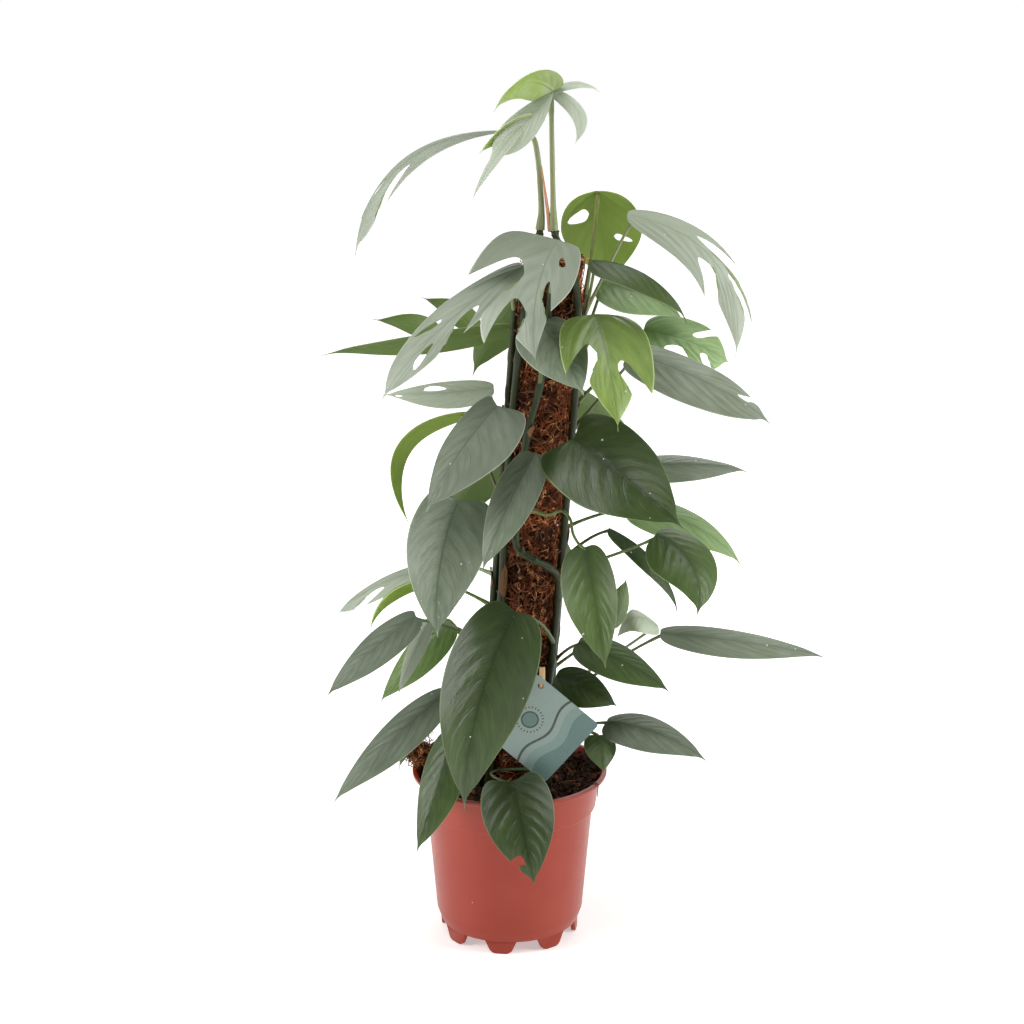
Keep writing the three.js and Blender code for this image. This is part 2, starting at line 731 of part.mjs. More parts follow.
    base: [5, -70, 315], tip: [-38, -112, 156], face: [-0.1, -0.93, 0.3],
    width: 79, bow: 9, arch: 8, shape: 'oval',
  },
  {
    name: 'leaf_left_long', vine: 'vine_left', at: 196, via: [-6, -6, 14], tone: 'grey',
    base: [-52, -32, 232], tip: [-153, -60, 140], face: [-0.3, -0.75, 0.6],
    width: 38, arch: 7, shape: 'lance',
  },
  {
    name: 'leaf_rim_left', vine: 'vine_front_left', at: 172, via: [-6, -12, 14], tone: 'green',
    base: [-48, -58, 204], tip: [-79, -101, 113], face: [-0.3, -0.9, 0.3],
    width: 40, bow: -4, arch: 6, shape: 'oval',
  },
  {
    name: 'leaf_rim_front', vine: 'vine_crossing', at: 152, via: [-8, -14, 6], tone: 'dark',
    base: [2, -88, 172], tip: [21, -121, 93], face: [0.05, -0.95, 0.3], width: 64, arch: 6, shape: 'heart',
    cuts: [[1, 0.74, 1, 0.1]],
  },
  {
    name: 'leaf_rim_back_left', vine: 'vine_left', at: 160, via: [-8, 10, 18], tone: 'dark',
    base: [-72, 36, 186], tip: [-101, 48, 128], face: [-0.6, -0.3, 0.6], width: 26, arch: 5, shape: 'oval',
  },
  {
    name: 'leaf_low_dark', vine: 'vine_crossing', at: 222, via: [4, -4, 8], tone: 'dark',
    base: [39, -36, 246], tip: [92, -48, 224], face: [0.15, -0.75, 0.6], width: 38, arch: 6, shape: 'oval',
  },
  {
    name: 'leaf_low_right', vine: 'vine_crossing', at: 184, via: [10, 0, 8], tone: 'green',
    base: [82, -40, 207], tip: [166, -80, 188], face: [0.1, -0.6, 0.8], width: 40, arch: 11, shape: 'oval',
  },
  {
    name: 'leaf_low_small', vine: 'vine_crossing', at: 160, via: [12, -6, 30], tone: 'green',
    base: [76, -50, 199], tip: [79, -76, 175], face: [0.1, -0.7, 0.7], width: 29, arch: 3, shape: 'heart',
  },
  {
    name: 'leaf_mid_right', vine: 'vine_front_right', at: 246, via: [2, -6, 10], tone: 'dark',
    base: [58, -30, 275], tip: [135, -66, 244], face: [0.2, -0.7, 0.7], width: 39, arch: 6, shape: 'oval',
  },
  {
    name: 'leaf_small_upright', vine: 'vine_right', at: 232, via: [8, 4, 4], tone: 'green',
    base: [88, 16, 273], tip: [102, 30, 313], face: [0.5, -0.7, 0.3], width: 26, arch: 3, shape: 'oval',
  },
  {
    name: 'leaf_small_pale', vine: 'vine_right', at: 208, via: [20, 10, 6], tone: 'light',
    base: [132, 52, 262], tip: [94, 50, 250], face: [0, -0.5, 0.86], width: 30, arch: 22, shape: 'oval',
  },
  {
    name: 'leaf_far_right', vine: 'vine_right', at: 190, via: [8, -8, 22], tone: 'grey',
    base: [129, -10, 277], tip: [274, -20, 259], face: [0.15, -0.6, 0.78], width: 32, arch: 3, shape: 'lance',
  },
  {
    name: 'leaf_back_upper', vine: 'vine_back', at: 535, via: [0, 12, 10], tone: 'green',
    base: [24, 62, 568], tip: [-34, 112, 478], face: [-0.3, 0.8, 0.5], width: 62, arch: 8, shape: 'heart',
  },
  {
    name: 'leaf_back_right', vine: 'vine_back', at: 440, via: [6, 12, 12], tone: 'green',
    base: [52, 66, 474], tip: [112, 112, 392], face: [0.4, 0.75, 0.5], width: 60, arch: 8, shape: 'heart',
  },
  {
    name: 'leaf_back_left', vine: 'vine_back', at: 388, via: [-4, 12, 10], tone: 'dark',
    base: [-12, 64, 415], tip: [-62, 110, 328], face: [-0.4, 0.75, 0.5], width: 58, arch: 8, shape: 'heart',
  },
  {
    name: 'leaf_back_middle', vine: 'vine_back', at: 310, via: [0, 14, 12], tone: 'green',
    base: [26, 74, 345], tip: [34, 122, 246], face: [0, 0.85, 0.5], width: 60, arch: 8, shape: 'oval',
  },
  {
    name: 'leaf_back_low', vine: 'vine_back', at: 205, via: [-4, 12, 12], tone: 'dark',
    base: [-20, 70, 236], tip: [-46, 118, 158], face: [-0.3, 0.8, 0.5], width: 50, arch: 7, shape: 'oval',
  },
];

// The tag: a square card with a punched hole, and the stick behind it

function cardGeometry() {
  const middle = TAG.front + TAG.thickness / 2;
  const plate = new THREE.BoxGeometry(TAG.side, TAG.thickness, TAG.side);
  plate.rotateY(radians(-TAG.turn));
  plate.translate(TAG.x, middle, TAG.z);
  const punch = new THREE.CylinderGeometry(TAG.holeRadius, TAG.holeRadius, 4, 12);
  punch.translate(TAG.stickX - 1, middle, TAG.holeZ);
  return geometryOf(solid(plate).subtract(solid(punch)));
}

function stickGeometry(spare = 0) {
  const height = TAG.stickTop - TAG.stickBottom;
  const bar = new THREE.BoxGeometry(TAG.stickWidth + 2 * spare, TAG.stickDepth + 2 * spare, height);
  const middle = TAG.front + TAG.thickness + GAP + TAG.stickDepth / 2;
  return bar.translate(TAG.stickX, middle, TAG.stickBottom + height / 2 - spare);
}

// Sockets in the soil for what stands in it

function poleSocket() {
  const depth = SOIL.level + 20 - POLE.bottom;
  const socket = upright(new THREE.CylinderGeometry(POLE.radius + 1.4, POLE.radius + 1.4, depth, POLE.sides));
  socket.translate(0, 0, POLE.bottom - GAP + depth / 2);
  const shear = new THREE.Matrix4().makeShear(0, 0, 0, 0, POLE.lean, 0);
  socket.applyMatrix4(shear);
  socket.translate(POLE.offset - POLE.lean * POLE.offsetHeight, 0, 0);
  return solid(socket);
}

function vineSocket(path) {
  const foot = path.getPoint(0);
  const rise = vinePoint(path, SOIL.level + 12).sub(foot);
  const start = foot.clone().addScaledVector(rise, -0.01);
  const line = new THREE.LineCurve3(start, foot.clone().add(rise));
  return solid(tube(line, VINE.radius + 0.8, VINE.sides, 1));
}

// The whole plant

const plant = new THREE.Group();

function addMesh(name, geometry, color, roughness = 0.5, metalness = 0) {
  const mesh = new THREE.Mesh(geometry, new THREE.MeshStandardMaterial({ color, roughness, metalness }));
  mesh.name = name;
  plant.add(mesh);
  return mesh;
}

const paths = {};
for (const [name, stops] of Object.entries(VINES)) {
  paths[name] = vinePath(stops);
}

addMesh('pot', potGeometry(), 0xbf5546, 0.45);
addMesh('coir_pole', poleGeometry(), 0x7a4327, 0.95);
for (const [name, path] of Object.entries(paths)) {
  const step = name === 'vine_crossing' ? VINE.crossingStep : VINE.step;
  addMesh(name, vineGeometry(path, step), 0x4d6b3c, 0.5);
}
for (const leaf of LEAVES) {
  addMesh(leaf.name, leafGeometry(leaf, paths), TONES[leaf.tone], 0.4);
}

addMesh('tag_card', cardGeometry(), 0x93aba6, 0.6);
addMesh('tag_stick', stickGeometry(), 0xd9b98c, 0.7);

const sockets = [poleSocket(), solid(stickGeometry(0.5))];
for (const path of Object.values(paths)) {
  sockets.push(vineSocket(path));
}
addMesh('soil', soilGeometry(sockets), 0x2e1c14, 1);

export default plant;
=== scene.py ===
"""The finished look of a climbing pothos in a red nursery pot.

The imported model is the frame. Every sub-part is rebuilt here on the same
measures with finer pieces: blades with veins and rounded splits, grown stems,
a pole of coir fibres, loose potting mix, a moulded pot and a card on a stick.
Lengths in the dataclasses are millimetres; a finished mesh is in metres.
"""

import logging
import math
import random
from collections.abc import Callable, Iterable
from dataclasses import dataclass
from enum import Enum
from typing import NamedTuple

import bmesh
import bpy
from bmesh.types import BMEdge, BMesh, BMFace, BMLayerItem, BMVert
from bpy.types import ID, Material, Mesh, Node, NodeInputs, NodeOutputs, NodeSocket, NodeTree, Object
from mathutils import Matrix, Quaternion, Vector, noise


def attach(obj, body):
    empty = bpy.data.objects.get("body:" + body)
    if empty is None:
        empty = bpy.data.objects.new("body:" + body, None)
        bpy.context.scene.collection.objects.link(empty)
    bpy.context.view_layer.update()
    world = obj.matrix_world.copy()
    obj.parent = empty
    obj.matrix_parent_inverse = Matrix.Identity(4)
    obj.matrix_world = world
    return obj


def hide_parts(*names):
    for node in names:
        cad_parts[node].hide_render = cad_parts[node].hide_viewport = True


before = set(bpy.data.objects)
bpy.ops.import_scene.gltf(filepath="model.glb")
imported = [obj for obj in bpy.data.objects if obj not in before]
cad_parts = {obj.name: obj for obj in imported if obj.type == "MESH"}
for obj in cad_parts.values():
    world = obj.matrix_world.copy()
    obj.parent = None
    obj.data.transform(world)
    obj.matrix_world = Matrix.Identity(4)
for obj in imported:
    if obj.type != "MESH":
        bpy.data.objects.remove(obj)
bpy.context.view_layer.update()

log = logging.getLogger("pothos")

BODY = "root"
UP = Vector((0, 0, 1))
Point = tuple[float, float, float]
Input = NodeSocket | float | tuple[float, ...]

# A millimetre in metres, and how close the vertices of a seam lie in millimetres
MM = 0.001
SEAM = 0.004

# How far side veins run forward, how they bend and how the two sides are shifted
VEIN_SWEEP = 0.3
VEIN_CURVE = 1.25
VEIN_SHIFT = 0.45


# Meshes


def heading(angle: float) -> Vector:
    """Gives the level direction at an angle in radians."""
    return Vector((math.cos(angle), math.sin(angle), 0))


def ease(value: float, start: float, span: float) -> float:
    """Rises smoothly from 0 to 1 over a span that begins at a start."""
    share = min(max((value - start) / span, 0.0), 1.0)
    return share * share * (3 - 2 * share)


def jitter(size: float) -> Vector:
    """Gives a random vector of about a size."""
    return Vector([random.gauss(0, size) for _ in range(3)])


def soften(bm: BMesh, geom: list, offset: float, segments: int, affect: str = "EDGES") -> None:
    """Rounds some edges or corners."""
    bmesh.ops.bevel(
        bm, geom=geom, offset=offset, offset_type="OFFSET", segments=segments, profile=0.5,
        affect=affect, clamp_overlap=True, material=-1,
    )


def ring(bm: BMesh, matrix: Matrix, radius: float, steps: int) -> list[BMEdge]:
    """Adds a circle and returns its edges."""
    made = bmesh.ops.create_circle(bm, cap_ends=False, segments=steps, radius=radius, matrix=matrix)
    return list({edge for vert in made["verts"] for edge in vert.link_edges})


def shaped_grid(
    bm: BMesh,
    along: int,
    around: int,
    place: Callable[[float, float], Vector],
    material: int = 0,
) -> list[BMFace]:
    """Adds a grid and moves each of its vertices.

    Args:
        bm: The mesh that takes the grid.
        along: Faces in the first direction.
        around: Faces in the second direction.
        place: Gives a vertex its place from its two shares, 0 to 1.
        material: Index of the material slot.

    Returns:
        The faces of the grid, with the two shares as their UV map.
    """
    uv_layer = bm.loops.layers.uv.verify()
    grid = bmesh.ops.create_grid(bm, x_segments=along, y_segments=around, size=0.5)
    faces = list({face for vert in grid["verts"] for face in vert.link_faces})
    for face in faces:
        face.material_index = material
        face.smooth = True
        for loop in face.loops:
            loop[uv_layer].uv = (loop.vert.co.x + 0.5, loop.vert.co.y + 0.5)
    for vert in grid["verts"]:
        vert.co = place(vert.co.x + 0.5, vert.co.y + 0.5)
    return faces


def weld(bm: BMesh, faces: Iterable[BMFace]) -> None:
    """Closes the seams and poles of the faces."""
    verts = list({vert for face in faces for vert in face.verts})
    bmesh.ops.remove_doubles(bm, verts=verts, dist=SEAM)


def piece(
    bm: BMesh,
    name: str,
    materials: list[Material],
    slot: str,
    nodes: tuple[str, ...] = (),
    crease: float = 50,
) -> Object:
    """Turns a mesh in millimetres into a piece of the part.

    Args:
        bm: The mesh, which is freed.
        name: Name of the piece.
        materials: Its materials, in the order of their slots.
        slot: The record's material slot. It is not used.
        nodes: The CAD nodes that it stands for.
        crease: Angle in degrees past which an edge stays sharp.

    Returns:
        The object, riding on the root body.
    """
    bmesh.ops.scale(bm, vec=(MM, MM, MM), verts=bm.verts)
    mesh = bpy.data.meshes.new(name)
    bm.to_mesh(mesh)
    bm.free()
    mesh.set_sharp_from_angle(angle=math.radians(crease))
    return dress(mesh, name, materials, slot, nodes)


def add_object(name: str, data: ID) -> Object:
    """Puts an object with its data into the scene."""
    item = bpy.data.objects.new(name, data)
    bpy.context.scene.collection.objects.link(item)
    return item


def dress(
    mesh: Mesh,
    name: str,
    materials: list[Material],
    slot: str,
    nodes: tuple[str, ...] = (),
) -> Object:
    """Makes a piece of a finished mesh, sets it on the root body and hides the CAD nodes it stands for.
    """
    item = add_object(name, mesh)
    for material in materials:
        mesh.materials.append(material)
    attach(item, BODY)
    if nodes:
        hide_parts(*nodes)
    log.info("%s: %d faces", name, len(mesh.polygons))
    return item


def frames_along(points: list[Vector]) -> list[tuple[Vector, Vector, Vector]]:
    """Gives each point of a path its tangent and two normals that don't twist."""
    tangents = []
    for i, _ in enumerate(points):
        ahead = points[min(i + 1, len(points) - 1)]
        behind = points[max(i - 1, 0)]
        tangents.append((ahead - behind).normalized())
    first = tangents[0].orthogonal().normalized()
    result = []
    for tangent in tangents:
        first = (first - tangent * first.dot(tangent)).normalized()
        result.append((tangent, first, tangent.cross(first)))
    return result


def smooth(points: list[Vector], parts: int) -> list[Vector]:
    """Runs a centripetal curve through the points.

    Args:
        points: The stops.
        parts: Pieces between two stops.

    Returns:
        The points of the curve.
    """
    ends = [points[0] * 2 - points[1], *points, points[-1] * 2 - points[-2]]
    result = []
    for before, start, end, after in zip(ends, ends[1:], ends[2:], ends[3:]):
        first = (start - before).length ** 0.5
        middle = (end - start).length ** 0.5
        last = (after - end).length ** 0.5
        leave = (start - before) / first - (end - before) / (first + middle) + (end - start) / middle
        arrive = (end - start) / middle - (after - start) / (middle + last) + (after - end) / last
        leave, arrive = leave * middle, arrive * middle
        for i in range(parts):
            t = i / parts
            square, cube = t * t, t * t * t
            result.append(
                start * (2 * cube - 3 * square + 1)
                + leave * (cube - 2 * square + t)
                + end * (3 * square - 2 * cube)
                + arrive * (cube - square)
            )
    return [*result, points[-1]]


def ring_at(u: float, last: int) -> tuple[int, bool]:
    """Gives a sweep's ring at a share of its grid, and whether it closes an end."""
    step = round(u * (last + 2)) - 1
    return min(max(step, 0), last), not 0 <= step <= last


def tube(
    bm: BMesh,
    points: list[Vector],
    radius: Callable[[float], float],
    sides: int,
    material: int = 0,
) -> list[BMFace]:
    """Sweeps a round section along a path and closes both ends.

    Args:
        bm: The mesh that takes the tube.
        points: The path, in millimetres.
        radius: Radius from the share of the path that is done.
        sides: Faces around.
        material: Index of the material slot.

    Returns:
        The faces of the tube.
    """
    frames = frames_along(points)
    last = len(points) - 1

    def place(u: float, v: float) -> Vector:
        index, closed = ring_at(u, last)
        _, first, second = frames[index]
        size = 0.0 if closed else radius(index / last)
        angle = -2 * math.pi * v
        return points[index] + (first * math.cos(angle) + second * math.sin(angle)) * size

    faces = shaped_grid(bm, last + 2, sides, place, material)
    weld(bm, faces)
    return [face for face in faces if face.is_valid]


def strands(paths: list[list[Vector]], radius: float, name: str) -> Mesh:
    """Makes one mesh of many thin square fibres, each with its own share of light.

    Args:
        paths: The fibres, each a list of points in millimetres.
        radius: Half the thickness of a fibre, in millimetres.
        name: Name of the mesh.

    Returns:
        The mesh, in metres.
    """
    curve = bpy.data.curves.new(name, "CURVE")
    curve.dimensions = "3D"
    curve.bevel_depth = radius * MM
    curve.bevel_resolution = 0
    curve.use_fill_caps = True
    for path in paths:
        spline = curve.splines.new("POLY")
        spline.points.add(len(path) - 1)
        spline.points.foreach_set("co", [c for point in path for c in (*(point * MM), 1.0)])
    holder = bpy.data.objects.new(name, curve)
    mesh = bpy.data.meshes.new_from_object(holder)
    bpy.data.objects.remove(holder)
    bpy.data.curves.remove(curve)
    mesh.name = name
    shares = [0.35 + 1.05 * random.random() ** 1.4 for _ in paths]
    caps = [share for share in reversed(shares) for _ in range(8)]
    sides = [share for share, path in zip(shares, paths) for _ in range(4 * len(path))]
    mesh.attributes.new("light", "FLOAT", "POINT").data.foreach_set("value", caps + sides)
    return mesh


# Materials


class Graph:
    """A node tree, with short ways to add to it."""

    def __init__(self, tree: NodeTree) -> None:
        """Keeps the tree."""
        self.tree = tree

    def add(self, kind: str, settings: dict | None = None, **inputs: Input) -> Node:
        """Adds a node.

        Args:
            kind: The node's type.
            settings: Its own properties.
            **inputs: A number, colour or output socket for each named input, with
                underscores for spaces.

        Returns:
            The node.
        """
        node = self.tree.nodes.new(kind)
        for name, value in (settings or {}).items():
            setattr(node, name, value)
        for name, value in inputs.items():
            key = int(name[1:]) if name[0] == "i" and name[1:].isdigit() else name.replace("_", " ")
            self.feed(node.inputs[key], value)
        return node

    def feed(self, socket: NodeSocket, value: Input) -> None:
        """Links an output to a socket, or sets a plain value on it."""
        if isinstance(value, NodeSocket):
            self.tree.links.new(value, socket)
        else:
            socket.default_value = value

    def math(self, operation: str, first: Input, second: Input = 0.0) -> NodeSocket:
        """Combines two numbers."""
        return self.add("ShaderNodeMath", {"operation": operation}, i0=first, i1=second).outputs[0]

    def times(self, first: Input, second: Input) -> NodeSocket:
        """Multiplies two numbers."""
        return self.math("MULTIPLY", first, second)

    def plus(self, first: Input, second: Input) -> NodeSocket:
        """Adds two numbers."""
        return self.math("ADD", first, second)

    def minus(self, first: Input, second: Input) -> NodeSocket:
        """Takes the second number from the first."""
        return self.math("SUBTRACT", first, second)

    def linear(self, value: Input, factor: float, start: float) -> NodeSocket:
        """Multiplies a number by a factor and adds a start."""
        return self.plus(self.times(value, factor), start)

    def near(self, value: Input, place: float, reach: float) -> NodeSocket:
        """Marks where a number lies within a reach of a place."""
        settings = {"operation": "COMPARE"}
        return self.add("ShaderNodeMath", settings, i0=value, i1=place, i2=reach).outputs[0]

    def split(self, vector: Input) -> NodeOutputs:
        """Takes a vector apart into X, Y and Z."""
        return self.add("ShaderNodeSeparateXYZ", Vector=vector).outputs

    def step(
        self, value: Input, low: float, high: float, first: float = 0.0, last: float = 1.0
    ) -> NodeSocket:
        """Passes smoothly from one value to another between two limits."""
        node = self.add("ShaderNodeMapRange", {"interpolation_type": "SMOOTHSTEP"}, Value=value)
        for name, limit in (("From Min", low), ("From Max", high), ("To Min", first), ("To Max", last)):
            node.inputs[name].default_value = limit
        return node.outputs[0]

    def mix(self, share: Input, first: Input, second: Input) -> NodeSocket:
        """Mixes two colours."""
        node = self.add("ShaderNodeMix", {"data_type": "RGBA", "clamp_factor": True})
        self.feed(node.inputs[0], share)
        self.feed(node.inputs[6], first)
        self.feed(node.inputs[7], second)
        return node.outputs[2]

    def tint(self, color: Input, mask: Input, share: float, code: int) -> NodeSocket:
        """Lays a second colour over the first where a mask says, up to a share."""
        return self.mix(self.times(mask, share), color, srgb(code))

    def noise(self, vector: Input, scale: Input, detail: float = 3.0, rough: float = 0.55) -> NodeSocket:
        """Adds soft noise, as a number."""
        node = self.add("ShaderNodeTexNoise", Vector=vector, Scale=scale, Detail=detail, Roughness=rough)
        return node.outputs[0]

    def scaled(self, color: Input, name: str) -> NodeSocket:
        """Makes a colour lighter or darker by a factor that the mesh carries."""
        factor = self.add("ShaderNodeAttribute", {"attribute_name": name}).outputs["Fac"]
        return self.add("ShaderNodeHueSaturation", Value=factor, Color=color).outputs[0]

    def object_point(self) -> NodeSocket:
        """Gives the place on the object, in metres."""
        return self.add("ShaderNodeTexCoord").outputs["Object"]

    def uv(self) -> NodeSocket:
        """Gives the place on the piece's own UV map."""
        return self.add("ShaderNodeUVMap").outputs[0]


def srgb(code: int) -> tuple[float, float, float, float]:
    """Turns a hex colour into linear light."""
    parts = [((code >> shift) & 255) / 255 for shift in (16, 8, 0)]
    linear = [part / 12.92 if part <= 0.04045 else ((part + 0.055) / 1.055) ** 2.4 for part in parts]
    return (*linear, 1.0)


class Effect:
    """A shader node group that several finishes use, built once."""

    made: dict[str, NodeTree] = {}

    @classmethod
    def start(
        cls, name: str, inputs: dict[str, float | None], outputs: list[str]
    ) -> tuple[Graph, NodeOutputs, NodeInputs]:
        """Makes an empty group.

        Args:
            name: Name of the group.
            inputs: Its inputs; one with the value None is a vector.
            outputs: Its outputs, all numbers.

        Returns:
            The graph, the group's inputs and its outputs by name.
        """
        tree = bpy.data.node_groups.new(name, "ShaderNodeTree")
        for label, value in inputs.items():
            kind = "NodeSocketVector" if value is None else "NodeSocketFloat"
            socket = tree.interface.new_socket(name=label, in_out="INPUT", socket_type=kind)
            if value is not None:
                socket.default_value = value
        for label in outputs:
            tree.interface.new_socket(name=label, in_out="OUTPUT", socket_type="NodeSocketFloat")
        source = tree.nodes.new("NodeGroupInput")
        target = tree.nodes.new("NodeGroupOutput")
        cls.made[name] = tree
        return Graph(tree), source.outputs, target.inputs

    @classmethod
    def use(cls, graph: Graph, name: str, **inputs: Input) -> NodeOutputs:
        """Places a group in a material and returns its outputs."""
        if name not in cls.made:
            getattr(cls, name)()
        return graph.add("ShaderNodeGroup", {"node_tree": cls.made[name]}, **inputs).outputs

    @classmethod
    def veins(cls) -> None:
        """Midrib, side veins and the streaks between them, swept forward, from the UV map."""
        graph, source, target = cls.start(
            "veins",
            {"Place": None, "Pairs": 9.0, "Sweep": VEIN_SWEEP},
            ["Midrib", "Shade", "Base", "Side", "Swell", "Fine", "Streak", "Margin", "Tip"],
        )
        parts = graph.split(source["Place"])
        offset = graph.minus(parts["Y"], 0.5)
        reach = graph.times(graph.math("ABSOLUTE", offset), 2.0)
        shift = graph.times(graph.math("GREATER_THAN", offset, 0.0), VEIN_SHIFT)
        bend = graph.times(graph.math("POWER", reach, VEIN_CURVE), source["Sweep"])
        place = graph.times(graph.minus(parts["X"], bend), source["Pairs"])
        wander = graph.noise(source["Place"], 5.0, 1.0)
        place = graph.plus(graph.plus(place, shift), graph.times(wander, 0.6))
        weak = graph.step(graph.noise(source["Place"], 9.0, 2.0), 0.4, 0.62, 1.0, 0.25)
        fade = graph.times(graph.step(reach, 0.5, 0.97, 1.0, 0.0), weak)
        along = graph.add("ShaderNodeCombineXYZ", X=place, Y=graph.times(reach, 0.8), Z=shift)
        feather = graph.noise(along.outputs[0], 3.2, 4.0, 0.6)
        graph.feed(target["Streak"], graph.step(feather, 0.36, 0.66))
        off = graph.math("ABSOLUTE", graph.minus(graph.math("FRACT", place), 0.5))
        graph.feed(target["Side"], graph.times(graph.step(off, 0.0, 0.065, 1.0, 0.0), fade))
        graph.feed(target["Swell"], graph.times(graph.step(off, 0.0, 0.5), fade))
        many = graph.math("FRACT", graph.times(place, 6.0))
        near = graph.math("ABSOLUTE", graph.minus(many, 0.5))
        graph.feed(target["Fine"], graph.step(near, 0.0, 0.45, 1.0, 0.0))
        graph.feed(target["Midrib"], graph.step(reach, 0.0, 0.036, 1.0, 0.0))
        # Shade and Base are masks for painted shade: along the midrib fold and towards the leaf's base
        graph.feed(target["Shade"], graph.step(reach, 0.0, 0.45, 1.0, 0.0))
        graph.feed(target["Base"], graph.step(parts["X"], 0.0, 0.7, 1.0, 0.0))
        graph.feed(target["Margin"], graph.step(reach, 0.965, 0.995))
        graph.feed(target["Tip"], graph.step(parts["X"], 0.93, 1.0))

    @classmethod
    def mottle(cls) -> None:
        """Soft uneven patches with finer ones inside them."""
        graph, source, target = cls.start("mottle", {"Place": None, "Scale": 30.0}, ["Patches", "Grain"])
        broad = graph.noise(source["Place"], source["Scale"], 3.0)
        fine = graph.noise(source["Place"], graph.times(source["Scale"], 14.0), 4.0, 0.65)
        graph.feed(target["Patches"], graph.step(broad, 0.35, 0.65))
        graph.feed(target["Grain"], fine)

    @classmethod
    def specks(cls) -> None:
        """Sparse small spots of uneven size, such as splashes and scuffs."""
        graph, source, target = cls.start(
            "specks", {"Place": None, "Scale": 90.0, "Size": 0.08, "Share": 0.5}, ["Mask"]
        )
        cells = graph.add("ShaderNodeTexVoronoi", Vector=source["Place"], Scale=source["Scale"])
        tint = graph.add("ShaderNodeSeparateColor", Color=cells.outputs["Color"]).outputs
        chosen = graph.math("LESS_THAN", tint[0], source["Share"])
        size = graph.times(source["Size"], graph.plus(tint[1], 0.3))
        spot = graph.math("LESS_THAN", cells.outputs["Distance"], size)
        graph.feed(target["Mask"], graph.times(spot, chosen))


class Finish:
    """A material with one Principled shader."""

    def __init__(self, name: str) -> None:
        """Makes an empty material."""
        self.material = bpy.data.materials.new(name)
        self.material.use_nodes = True
        self.graph = Graph(self.material.node_tree)
        self.shader = self.material.node_tree.nodes["Principled BSDF"]

    def paint(self, color: Input, roughness: Input, specular: float = 0.5) -> None:
        """Sets the shader's colour, roughness and gloss."""
        self.graph.feed(self.shader.inputs["Base Color"], color)
        self.graph.feed(self.shader.inputs["Roughness"], roughness)
        self.shader.inputs["Specular IOR Level"].default_value = specular

    def relief(self, height: NodeSocket, strength: float, depth: float) -> None:
        """Adds a low relief, its depth in millimetres."""
        bump = self.graph.add("ShaderNodeBump", Strength=strength, Distance=depth * MM, Height=height)
        self.graph.feed(self.shader.inputs["Normal"], bump.outputs[0])

    def glow(self, color: Input, share: float) -> None:
        """Lets light through, as a leaf does.

        Args:
            color: Colour of the light that comes through.
            share: How much of the surface lets it through.
        """
        through = self.graph.add("ShaderNodeBsdfTranslucent", Color=color)
        both = self.graph.add("ShaderNodeMixShader", i0=share)
        self.graph.feed(both.inputs[1], self.shader.outputs[0])
        self.graph.feed(both.inputs[2], through.outputs[0])
        output = self.material.node_tree.nodes["Material Output"]
        self.graph.feed(output.inputs["Surface"], both.outputs[0])


